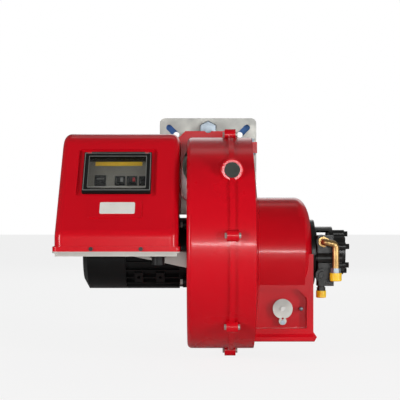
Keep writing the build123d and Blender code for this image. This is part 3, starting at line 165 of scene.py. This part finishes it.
def finish(name, tone, shade, rough, metallic=0.0, mottle=(9.0, 2.0), grain=(600.0, 0.5),
           bump=0.15, specks=(160.0, 0.05), speck_tone=(0.05, 0.04, 0.035), stretch=(1, 1, 1)):
    """A material of two tones and two roughnesses, with grain and specks at the given scales."""
    material = bpy.data.materials.new(name)
    material.use_nodes = True
    tree = material.node_tree
    shader = tree.nodes["Principled BSDF"]
    shader.inputs["Metallic"].default_value = metallic
    place = tree.nodes.new("ShaderNodeTexCoord")
    mapping = tree.nodes.new("ShaderNodeMapping")
    mapping.inputs["Scale"].default_value = stretch
    tree.links.new(place.outputs["Object"], mapping.inputs["Vector"])

    def effect(group, **values):
        node = tree.nodes.new("ShaderNodeGroup")
        node.node_tree = group
        tree.links.new(mapping.outputs["Vector"], node.inputs["Vector"])
        for key, value in values.items():
            node.inputs[key].default_value = value
        return node.outputs[0]

    mask = effect(MOTTLE, Scale=mottle[0], Contrast=mottle[1])
    dots = effect(SPECKS, Scale=specks[0], Size=specks[1])
    height = effect(GRAIN, Scale=grain[0], Roll=grain[1])
    two_tone = tree.nodes.new("ShaderNodeMix")
    two_tone.data_type = "RGBA"
    two_tone.inputs["A"].default_value = (*tone, 1)
    two_tone.inputs["B"].default_value = (*shade, 1)
    tree.links.new(mask, two_tone.inputs["Factor"])
    speckled = tree.nodes.new("ShaderNodeMix")
    speckled.data_type = "RGBA"
    speckled.inputs["B"].default_value = (*speck_tone, 1)
    tree.links.new(dots, speckled.inputs["Factor"])
    tree.links.new(two_tone.outputs["Result"], speckled.inputs["A"])
    tree.links.new(speckled.outputs["Result"], shader.inputs["Base Color"])
    gloss = tree.nodes.new("ShaderNodeMix")
    gloss.inputs["A"].default_value = rough[0]
    gloss.inputs["B"].default_value = rough[1]
    tree.links.new(mask, gloss.inputs["Factor"])
    tree.links.new(gloss.outputs["Result"], shader.inputs["Roughness"])
    relief = tree.nodes.new("ShaderNodeBump")
    relief.inputs["Strength"].default_value = bump
    relief.inputs["Distance"].default_value = 0.0006
    tree.links.new(height, relief.inputs["Height"])
    tree.links.new(relief.outputs["Normal"], shader.inputs["Normal"])
    return material


def tune(material, **values):
    """Sets constant values on a material's shader, each named by its socket with underscores."""
    shader = material.node_tree.nodes["Principled BSDF"]
    for key, value in values.items():
        shader.inputs[key.replace("_", " ")].default_value = value
    return material


def dress(material, *names):
    """Puts a material on every slot of the named nodes."""
    for name in names:
        for slot in nodes[name].material_slots:
            slot.material = material
    print(material.name, "on", len(names))


# %% [markdown]
# The red is a glossy stove enamel over cast aluminium and sheet steel.  It is a saturated colour
# under a clear, hard surface, so the shader carries a coat: the coat gives the sharp pale
# reflections while the colour below stays deep.  Castings keep a faint orange-peel roll, and the
# pressed sheet cover is smoother, so the two have their own versions.

# %% Red enamel on castings and on sheet
BRIGHT_RED = (0.60, 0.0025, 0.011)
DEEP_RED = (0.50, 0.0015, 0.008)
SCUFF_RED = (0.28, 0.01, 0.012)


def cast_enamel():
    material = finish("cast_enamel", BRIGHT_RED, DEEP_RED, (0.24, 0.34), mottle=(7.0, 1.6),
                      grain=(420.0, 0.75), bump=0.22, specks=(90.0, 0.03), speck_tone=SCUFF_RED)
    return tune(material, Specular_IOR_Level=0.16, Coat_Weight=0.22, Coat_Roughness=0.12)


def sheet_enamel():
    material = finish("sheet_enamel", BRIGHT_RED, DEEP_RED, (0.26, 0.34), mottle=(5.0, 1.2),
                      grain=(260.0, 0.9), bump=0.10, specks=(70.0, 0.02), speck_tone=SCUFF_RED)
    return tune(material, Specular_IOR_Level=0.16, Coat_Weight=0.28, Coat_Roughness=0.08)


dress(cast_enamel(), "neck_casting", "scroll_left_half", "scroll_right_half", "intake_housing")
dress(sheet_enamel(), "control_cover")

# %% [markdown]
# Flange, studs and small steel parts are zinc plated.  Fresh zinc is a cool grey metal with cloudy
# patches where the crystals lie differently, and the large nuts take a bluish passivation.

# %% Zinc plated steel


def zinc_plate():
    return finish("zinc_plate", (0.52, 0.52, 0.48), (0.38, 0.39, 0.37), (0.40, 0.56), metallic=0.6,
                  mottle=(26.0, 2.6), grain=(900.0, 0.4), bump=0.12, specks=(220.0, 0.07),
                  speck_tone=(0.25, 0.25, 0.24))


def blue_zinc():
    return finish("blue_zinc", (0.34, 0.40, 0.45), (0.24, 0.29, 0.34), (0.34, 0.5), metallic=0.7,
                  mottle=(60.0, 2.4), grain=(1200.0, 0.3), bump=0.08)


def turned_steel():
    return finish("turned_steel", (0.46, 0.45, 0.43), (0.32, 0.31, 0.30), (0.28, 0.42), metallic=1.0,
                  mottle=(30.0, 2.0), grain=(700.0, 0.2), bump=0.2, stretch=(1, 1, 6))


dress(zinc_plate(), "mounting_plate", "damper_disc", "damper_flap", "scroll_bolts", "motor_bolts")
dress(blue_zinc(), "flange_nuts", "flange_studs", "clamp_screw", "disc_screw", "stop_pin", "pipe_nut")
dress(turned_steel(), "motor_shaft", "damper_spindle", "nozzle_line")

# %% [markdown]
# The blast tube and swirl disc are heat-resistant steel.  Heat leaves straw and brown bands along
# the tube, so its two tones are warm and its mottle is drawn out along the tube's length.

# %% Head steel, porcelain and the fan wheel


def heated_steel():
    return finish("heated_steel", (0.40, 0.37, 0.33), (0.22, 0.17, 0.13), (0.34, 0.52), metallic=0.9,
                  mottle=(14.0, 2.4), grain=(500.0, 0.4), bump=0.15, stretch=(1, 0.35, 1))


def porcelain():
    return finish("porcelain", (0.82, 0.80, 0.74), (0.74, 0.71, 0.64), (0.16, 0.24), mottle=(80.0, 1.5),
                  grain=(900.0, 0.6), bump=0.04)


def galvanised():
    return finish("galvanised", (0.56, 0.57, 0.57), (0.38, 0.39, 0.40), (0.36, 0.56), metallic=0.85,
                  mottle=(45.0, 3.0), grain=(700.0, 0.5), bump=0.1)


dress(heated_steel(), "blast_tube", "flame_disc", "head_spider")
dress(porcelain(), "electrodes")
dress(galvanised(), "fan_wheel", "inlet_ring")

# %% [markdown]
# Motor, pump and valve block are sprayed black.  Nearly black paint reads as flat unless its shine
# changes, so the roughness moves more than the colour does, and dust greys the film a little.

# %% Black paint, black plastic and rubber


def motor_black():
    material = finish("motor_black", (0.0015, 0.0015, 0.0015), (0.003, 0.003, 0.003), (0.36, 0.5),
                      mottle=(16.0, 2.4), grain=(520.0, 0.6), bump=0.3, specks=(140.0, 0.05),
                      speck_tone=(0.02, 0.018, 0.016))
    return tune(material, Specular_IOR_Level=0.22)


def pump_black():
    material = finish("pump_black", (0.006, 0.006, 0.006), (0.018, 0.018, 0.017), (0.24, 0.42),
                      mottle=(40.0, 2.2), grain=(700.0, 0.5), bump=0.3, specks=(260.0, 0.07),
                      speck_tone=(0.05, 0.048, 0.045))
    return tune(material, Specular_IOR_Level=0.35)


def moulded_black():
    material = finish("moulded_black", (0.005, 0.005, 0.005), (0.009, 0.009, 0.009), (0.38, 0.5),
                      mottle=(30.0, 1.6), grain=(1500.0, 0.2), bump=0.12)
    return tune(material, Specular_IOR_Level=0.22)


def soft_rubber():
    return finish("soft_rubber", (0.018, 0.017, 0.016), (0.034, 0.032, 0.03), (0.62, 0.78),
                  mottle=(30.0, 2.0), grain=(900.0, 0.5), bump=0.25)


def blue_gasket():
    return finish("blue_gasket", (0.03, 0.12, 0.42), (0.05, 0.15, 0.36), (0.6, 0.75),
                  mottle=(60.0, 2.2), grain=(800.0, 0.3), bump=0.4)


dress(motor_black(), "motor_frame", "motor_shield", "motor_cowl")
dress(pump_black(), "pump_lantern", "pump_body", "pump_cover", "pump_bolts",
      "valve_block", "regulator", "pressure_plug", "cover_screws")
# The ignition transformer sits in the deep gap between the cover and the scroll. Its black is partly
# its own moulded case and partly painted shade for that gap.
dress(moulded_black(), "motor_fan", "cable_gland", "window_lid", "hour_counter", "switch_frames",
      "rocker_left", "rocker_right", "control_unit", "ignition_transformer")
dress(soft_rubber(), "drive_coupling")
dress(blue_gasket(), "flange_gasket")

# %% [markdown]
# Brass shows warm where it is wiped and brown where it is not.  The transit caps are bright yellow
# polythene, which lets a little light in below its skin, so a small subsurface weight softens them.

# %% Brass and yellow polythene


def pipe_brass():
    return finish("pipe_brass", (0.55, 0.37, 0.15), (0.34, 0.20, 0.08), (0.30, 0.46), metallic=0.9,
                  mottle=(70.0, 2.6), grain=(900.0, 0.3), bump=0.12)


def cap_yellow():
    material = finish("cap_yellow", (0.95, 0.60, 0.015), (0.86, 0.50, 0.01), (0.30, 0.42),
                      mottle=(60.0, 1.6), grain=(900.0, 0.6), bump=0.12, specks=(300.0, 0.05),
                      speck_tone=(0.6, 0.32, 0.02))
    return tune(material, Subsurface_Weight=0.15, Subsurface_Scale=0.003)


dress(pipe_brass(), "brass_union", "return_pipe")
dress(cap_yellow(), "return_cap", "inlet_cap")

# %% [markdown]
# The control box shows a grey panel under a clear window, a yellow strip and a bare badge plate.
# The tray below is pale grey paint, and the sight glass is near-black, painted shade of the unlit
# inside.

# %% Panel, tray, badge, glass


def tray_grey():
    return finish("tray_grey", (0.50, 0.48, 0.44), (0.40, 0.38, 0.35), (0.40, 0.55),
                  mottle=(18.0, 2.0), grain=(700.0, 0.5), bump=0.15)


def panel_grey():
    return finish("panel_grey", (0.15, 0.14, 0.115), (0.12, 0.11, 0.09), (0.45, 0.6),
                  mottle=(25.0, 1.8), grain=(1100.0, 0.3), bump=0.12)


def strip_yellow():
    return finish("strip_yellow", (0.72, 0.45, 0.03), (0.60, 0.36, 0.02), (0.40, 0.5),
                  mottle=(60.0, 1.6), grain=(1200.0, 0.3), bump=0.05)


def badge_white():
    return finish("badge_white", (0.74, 0.73, 0.70), (0.66, 0.65, 0.61), (0.30, 0.40),
                  mottle=(40.0, 1.6), grain=(900.0, 0.5), bump=0.05)


def rocker_red():
    return finish("rocker_red", (0.30, 0.008, 0.012), (0.22, 0.006, 0.01), (0.22, 0.32),
                  mottle=(90.0, 1.6), grain=(1500.0, 0.3), bump=0.05)


# The sight glass is opaque and near-black: painted shade for the dark inside of the head behind it.
def sight_painted_shade():
    material = finish("sight_painted_shade", (0.020, 0.024, 0.020), (0.040, 0.046, 0.040), (0.45, 0.6),
                      mottle=(70.0, 2.0), grain=(500.0, 0.8), bump=0.05)
    return tune(material, Specular_IOR_Level=0.2)


def clear_pane():
    """Clear acrylic: plain transmission, with only its bump changing over the surface."""
    material = bpy.data.materials.new("clear_pane")
    material.use_nodes = True
    tree = material.node_tree
    shader = tree.nodes["Principled BSDF"]
    shader.inputs["Base Color"].default_value = (0.90, 0.92, 0.92, 1)
    shader.inputs["Roughness"].default_value = 0.04
    shader.inputs["IOR"].default_value = 1.2
    shader.inputs["Transmission Weight"].default_value = 1.0
    place = tree.nodes.new("ShaderNodeTexCoord")
    roll = tree.nodes.new("ShaderNodeGroup")
    roll.node_tree = GRAIN
    roll.inputs["Scale"].default_value = 60.0
    relief = tree.nodes.new("ShaderNodeBump")
    relief.inputs["Strength"].default_value = 0.03
    relief.inputs["Distance"].default_value = 0.0006
    tree.links.new(place.outputs["Object"], roll.inputs["Vector"])
    tree.links.new(roll.outputs["Height"], relief.inputs["Height"])
    tree.links.new(relief.outputs["Normal"], shader.inputs["Normal"])
    return material


dress(tray_grey(), "base_tray", "support_bracket")
dress(panel_grey(), "panel_plate")
dress(strip_yellow(), "panel_strip")
dress(badge_white(), "badge")
dress(rocker_red(), "rocker_middle")
dress(sight_painted_shade(), "sight_glass")
dress(clear_pane(), "window_pane")

# %% [markdown]
# Small trim comes next.  It lies on the sloping face of the control box, so one matrix turns a flat
# piece, drawn at the world's origin, into that slope.  The slope's upward direction is the axis
# that the rockers turn about, so it is read from the joints and not guessed.

# %% Helpers for new pieces
joints = {joint["name"]: joint for joint in frame["joints"]}
slope_up = Vector(joints["rocker_left_turn"]["axis"]).normalized()
slope_out = Vector((1, 0, 0)).cross(slope_up).normalized()
print("slope", tuple(round(v, 3) for v in slope_up), tuple(round(v, 3) for v in slope_out))


def middle(name):
    """Middle of a node's box."""
    low, high = (Vector(corner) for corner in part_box(name))
    return (low + high) / 2


def on_slope(centre):
    """Matrix that lays a piece drawn on the world's XY plane onto the slope at a point."""
    turn = Matrix((Vector((1, 0, 0)), slope_up, slope_out)).transposed().to_4x4()
    return Matrix.Translation(centre) @ turn


def settle(name, body, material, matrix=None):
    """Names the active piece, bakes its place into its mesh, dresses it and lets it ride."""
    piece = bpy.context.active_object
    piece.name = name
    if matrix is not None:
        piece.matrix_world = matrix @ piece.matrix_world
    bpy.ops.object.transform_apply(location=True, rotation=True, scale=True)
    piece.data.materials.clear()
    piece.data.materials.append(material)
    bpy.ops.object.shade_smooth_by_angle(angle=math.radians(35))
    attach(piece, body)
    print(name, "faces", len(piece.data.polygons))
    return piece


def fresh():
    """Nothing selected, so the next piece is worked on alone."""
    bpy.ops.object.select_all(action="DESELECT")


def soften(width, segments=2, limit=30):
    """Rounds the active piece's edges that are sharper than the limit, in degrees."""
    edge = bpy.context.active_object.modifiers.new("edge", "BEVEL")
    edge.width = width
    edge.segments = segments
    edge.limit_method = "ANGLE"
    edge.angle_limit = math.radians(limit)
    bpy.ops.object.modifier_apply(modifier="edge")


def rim(width, height, border, thick):
    """A flat frame: a plane inset by its border, its middle removed, then thickened and rounded."""
    fresh()
    bpy.ops.mesh.primitive_plane_add(size=1)
    bpy.context.active_object.scale = (width, height, 1)
    bpy.ops.object.transform_apply(scale=True)
    bpy.ops.object.mode_set(mode="EDIT")
    bpy.ops.mesh.inset(thickness=border)
    bpy.ops.mesh.delete(type="FACE")
    bpy.ops.object.mode_set(mode="OBJECT")
    piece = bpy.context.active_object
    wall = piece.modifiers.new("wall", "SOLIDIFY")
    wall.thickness = thick
    wall.offset = 1
    bpy.ops.object.modifier_apply(modifier="wall")
    soften(min(thick, border) * 0.3)


# %% [markdown]
# The lid lies in a shallow recess of the red cover.  The recess needs its floor, a thin flange that
# laps under the cover's sheet, and a well that leads down to the panel, made black as painted shade
# on its walls.  All three are frames of the same kind, so each starts as a plane with its middle
# removed.

# %% Recess floor, flange and well
lid_low, lid_high = (Vector(corner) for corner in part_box("window_lid"))
lid_width = lid_high.x - lid_low.x
lid_length = (lid_high.z - lid_low.z) / slope_up.z * 0.97    # the box also holds some of its thickness
pane_mid = middle("window_pane")
lid_back = pane_mid - slope_out * 0.001
sheet = 0.003
floor_thick = sheet * 0.7
flange_thick = 0.0014
well_depth = 0.0185
recess_width = lid_width + 0.021
recess_length = lid_length + 0.014
well_inset = 0.022
lapped = (recess_width + 2 * sheet, recess_length + 2 * sheet)
enamel = bpy.data.materials["sheet_enamel"]
dark_mould = bpy.data.materials["moulded_black"]
rim(*lapped, 0.015, floor_thick)
settle("recess_floor", "housing", enamel,
       on_slope(lid_back - slope_out * (0.0005 + floor_thick)))
rim(*lapped, sheet, flange_thick)
settle("recess_flange", "housing", enamel, on_slope(lid_back - slope_out * 0.0006))
# The well is black as painted shade on its walls down to the panel.
rim(recess_width - well_inset, recess_length - well_inset, 0.002, well_depth)
settle("panel_well", "housing", dark_mould,
       on_slope(lid_back - slope_out * (well_depth + 0.001)))

# %% [markdown]
# Two ears hold the lid's hinge pins.  Each is a knuckle, a short rounded cylinder on the hinge axis,
# joined to a foot that stands on the recess floor.

# %% Hinge ears
hinge = Vector(joints["lid_open"]["pos_m"])
ear_x = lid_width / 2 - 0.010
across = (0, math.pi / 2, 0)
for side, word in ((-1, "left"), (1, "right")):
    fresh()
    bpy.ops.mesh.primitive_cylinder_add(vertices=32, radius=0.0029, depth=0.0068, rotation=across)
    knuckle = bpy.context.active_object
    soften(0.0005)
    bpy.ops.mesh.primitive_cube_add(size=1, location=(0, 0, -0.0022))
    bpy.context.active_object.scale = (0.0064, 0.0050, 0.0044)
    knuckle.select_set(True)
    bpy.context.view_layer.objects.active = knuckle
    bpy.ops.object.join()
    spot = hinge + Vector((side * ear_x, 0, 0))
    settle(f"hinge_ear_{word}", "housing", enamel, on_slope(spot))

# %% [markdown]
# The strip, meter and switches belong high on the panel, where the window shows them.  Each is a
# copy of its plain solid with its points merged and its edges rounded, moved up the slope, and it
# stands in for that solid.  The rockers move along the very axis that they turn about, so they
# still rock inside their frames.

# %% Panel pieces, set higher
STRIP_RISE = 0.0150
METER_RISE = 0.0190
SWITCH_RISE = 0.0205


def raised(name, rise, body, material, rounding):
    """A merged and rounded copy of a plain node, moved up the slope, that stands in for it."""
    fresh()
    piece = bpy.data.objects.new(f"{name}_face", nodes[name].data.copy())
    bpy.context.collection.objects.link(piece)
    piece.select_set(True)
    bpy.context.view_layer.objects.active = piece
    bpy.ops.object.mode_set(mode="EDIT")
    bpy.ops.mesh.select_all(action="SELECT")
    bpy.ops.mesh.remove_doubles(threshold=0.00001)
    bpy.ops.transform.translate(value=slope_up * rise)
    bpy.ops.object.mode_set(mode="OBJECT")
    soften(rounding, limit=50)
    settle(f"{name}_face", body, material)
    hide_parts(name)


raised("panel_strip", STRIP_RISE, "housing", bpy.data.materials["strip_yellow"], 0.0002)
raised("hour_counter", METER_RISE, "housing", dark_mould, 0.0006)
raised("switch_frames", SWITCH_RISE, "housing", dark_mould, 0.0004)
raised("rocker_left", SWITCH_RISE, "left_rocker", dark_mould, 0.0004)
raised("rocker_middle", SWITCH_RISE, "middle_rocker", dark_mould, 0.0004)
raised("rocker_right", SWITCH_RISE, "right_rocker", dark_mould, 0.0004)

# %% [markdown]
# Two of the rockers show a coloured window on one half, grey on the first and red on the second.
# Each window is a slab with rounded corners that sinks into the rocker and rides on it.

# %% Rocker windows
grey_key = finish("grey_key", (0.20, 0.20, 0.19), (0.14, 0.14, 0.13), (0.25, 0.35),
                  mottle=(90.0, 1.6), bump=0.05)
for name, body, paint, slot in (
    ("rocker_left", "left_rocker", grey_key, "black_plastic"),
    ("rocker_middle", "middle_rocker", bpy.data.materials["rocker_red"], "red_plastic"),
):
    low, high = (Vector(corner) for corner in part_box(name))
    width = high.x - low.x
    fresh()
    bpy.ops.mesh.primitive_cube_add(size=1)
    bpy.context.active_object.scale = (width * 0.36, width * 0.74, 0.0030)
    bpy.ops.object.transform_apply(location=False, rotation=False, scale=True)
    soften(0.0006, segments=3)
    spot = middle(name) + slope_up * SWITCH_RISE + slope_out * 0.0016 + Vector((width * 0.24, 0, 0))
    settle(f"{name}_window", body, paint, on_slope(spot))

# %% [markdown]
# The lid carries pale lines where its moulded edges catch the light, one round the frame and one
# round the pane.  Each line is a thin raised bead in pale grey, which is a painted highlight.  It
# stays in every view, where a flat painted line would vanish from the side.

# %% Painted highlight beads round the lid and its pane
# The pale grey of both beads is a painted highlight along the lid's edges.
painted_highlight_grey = finish("painted_highlight_grey", (0.26, 0.26, 0.25), (0.17, 0.17, 0.16), (0.3, 0.42),
                   mottle=(50.0, 1.6), bump=0.06)
lid_face = pane_mid + slope_out * 0.0050
bead_height = 0.0008
rim(lid_width - 0.003, lid_length - 0.010, 0.0012, bead_height)
settle("lid_bead", "lid", painted_highlight_grey, on_slope(lid_face))
rim(lid_width - 0.019, lid_length - 0.026, 0.0010, bead_height)
settle("pane_bead", "lid", painted_highlight_grey, on_slope(lid_face))

# %% [markdown]
# The hour meter has a small raised frame on its black face, round a row of dark number drums.  The
# drums are short rounded cylinders along one axis, and they are left without figures.

# %% Hour meter face
meter_mid = middle("hour_counter") + slope_out * 0.002 + slope_up * (METER_RISE + 0.003)
rim(0.0175, 0.0080, 0.0012, 0.0010)
settle("meter_frame", "housing", dark_mould, on_slope(meter_mid))
drum_dark = finish("drum_dark", (0.10, 0.10, 0.09), (0.07, 0.07, 0.06), (0.4, 0.5),
                   mottle=(90.0, 1.6), bump=0.05)
drum_count = 5
drum_pitch = 0.0028
for n in range(drum_count):
    fresh()
    place = ((n - (drum_count - 1) / 2) * drum_pitch, 0, -0.0016)
    bpy.ops.mesh.primitive_cylinder_add(vertices=20, radius=0.0026, depth=0.0022,
                                        location=place, rotation=across)
    soften(0.0003)
    settle(f"meter_drum_{n + 1}", "housing", drum_dark, on_slope(meter_mid))

# %% [markdown]
# A brown grommet closes a spare hole under the tray.  It is a short cylinder with a dimple, made by
# insetting the lower end face and sinking it, and all its edges are rounded.

# %% Grommet under the tray
tray_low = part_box("base_tray")[0]
gland = middle("cable_gland")
rubber_brown = finish("rubber_brown", (0.16, 0.07, 0.025), (0.11, 0.05, 0.02), (0.5, 0.62),
                      mottle=(80.0, 1.8), bump=0.12)
fresh()
bpy.ops.mesh.primitive_cylinder_add(vertices=40, radius=0.0085, depth=0.005)
bpy.ops.object.mode_set(mode="EDIT")
bpy.ops.mesh.select_all(action="DESELECT")
bpy.ops.object.mode_set(mode="OBJECT")
for face in bpy.context.active_object.data.polygons:
    face.select = face.normal.z < -0.9
bpy.ops.object.mode_set(mode="EDIT")
bpy.ops.mesh.inset(thickness=0.003)
bpy.ops.transform.translate(value=(0, 0, 0.002))
bpy.ops.object.mode_set(mode="OBJECT")
soften(0.0006, segments=3)
bpy.context.active_object.location = (gland.x - 0.034, gland.y, tray_low[2] + 0.0035)
settle("tray_grommet", "housing", rubber_brown)

# %% [markdown]
# The stage is a wide white floor.  Emission is mixed in for camera rays, so the floor looks white
# and still takes the object's shadow.

# %% Floor


def stage_white():
    """White that glows to the camera only, so it doesn't light the object."""
    material = bpy.data.materials.new("stage_white")
    material.use_nodes = True
    tree = material.node_tree
    shader = tree.nodes["Principled BSDF"]
    shader.inputs["Base Color"].default_value = (0.85, 0.85, 0.85, 1)
    shader.inputs["Roughness"].default_value = 0.9
    shader.inputs["Specular IOR Level"].default_value = 0.0
    glow = tree.nodes.new("ShaderNodeEmission")
    glow.inputs["Strength"].default_value = 1.0
    seen = tree.nodes.new("ShaderNodeLightPath")
    part = tree.nodes.new("ShaderNodeMath")
    part.operation = "MULTIPLY"
    part.inputs[1].default_value = 0.85
    blend = tree.nodes.new("ShaderNodeMixShader")
    out = tree.nodes["Material Output"]
    tree.links.new(seen.outputs["Is Camera Ray"], part.inputs[0])
    tree.links.new(part.outputs[0], blend.inputs["Fac"])
    tree.links.new(shader.outputs[0], blend.inputs[1])
    tree.links.new(glow.outputs[0], blend.inputs[2])
    tree.links.new(blend.outputs[0], out.inputs["Surface"])
    return material


floor_z = cad_box[0][2]
fresh()
bpy.ops.mesh.primitive_plane_add(size=12, location=(0, 2, floor_z - 0.0005))
floor = bpy.context.active_object
floor.name = "floor"
floor.data.materials.append(stage_white())
print("floor", round(floor_z, 4))

# %% [markdown]
# The world is white to the camera and through the clear pane, and dim to everything else, so that
# the lamps alone shape the enamel.

# %% World
world = bpy.data.worlds.new("studio")
bpy.context.scene.world = world
world.use_nodes = True
sky = world.node_tree
dim = sky.nodes["Background"]
dim.inputs["Color"].default_value = (1, 1, 1, 1)
dim.inputs["Strength"].default_value = 0.12
white = sky.nodes.new("ShaderNodeBackground")
white.inputs["Color"].default_value = (1, 1, 1, 1)
white.inputs["Strength"].default_value = 1.0
seen = sky.nodes.new("ShaderNodeLightPath")
through = sky.nodes.new("ShaderNodeMath")
through.operation = "MAXIMUM"
pick = sky.nodes.new("ShaderNodeMixShader")
sky.links.new(seen.outputs["Is Camera Ray"], through.inputs[0])
sky.links.new(seen.outputs["Is Transmission Ray"], through.inputs[1])
sky.links.new(through.outputs[0], pick.inputs["Fac"])
sky.links.new(dim.outputs[0], pick.inputs[1])
sky.links.new(white.outputs[0], pick.inputs[2])
sky.links.new(pick.outputs[0], sky.nodes["World Output"].inputs["Surface"])
print("world", world.name, dim.inputs["Strength"].default_value)

# %% [markdown]
# Gloss enamel shows the shape of whatever lights it.  A long, thin key in front draws the narrow
# bright band across the round housings, two tall boxes at the sides light the flat faces without
# showing in them, and weak lamps above and behind pick out the edges.

# %% Lamps
aim = Vector((0, -0.25, -0.12))


def softbox(name, place, power, width, height):
    """A rectangular lamp that faces the object."""
    lamp = bpy.data.lights.new(name, "AREA")
    lamp.shape = "RECTANGLE"
    lamp.energy = power
    lamp.size = width
    lamp.size_y = height
    holder = bpy.data.objects.new(name, lamp)
    bpy.context.collection.objects.link(holder)
    holder.location = place
    holder.rotation_euler = (aim - Vector(place)).to_track_quat("-Z", "Y").to_euler()
    print(name, power, "W")


softbox("key", (0.35, -3.1, 0.02), 21, 1.2, 0.10)
softbox("fill", (-2.1, -2.2, 0.0), 52, 0.5, 1.6)
softbox("side", (2.3, -2.2, 0.0), 54, 0.5, 1.6)
softbox("top", (0.1, 1.0, 2.0), 2, 1.6, 0.5)
softbox("rear", (0.4, 2.4, 1.0), 10, 2.0, 1.0)

# %% [markdown]
# The camera stands level on the service side, a little left of the head's axis, and far enough away
# that the box, the scroll and the intake keep their true proportions.

# %% Camera and view
eye = bpy.data.cameras.new("camera")
eye.lens = 104.5
eye.sensor_width = 36.0
camera = bpy.data.objects.new("camera", eye)
bpy.context.collection.objects.link(camera)
camera.location = (-0.0179, -2.6, -0.0748)
camera.rotation_euler = (math.pi / 2, 0, 0)
bpy.context.scene.camera = camera
bpy.context.scene.view_settings.view_transform = "Standard"
print("camera", tuple(round(v, 4) for v in camera.location), eye.lens)
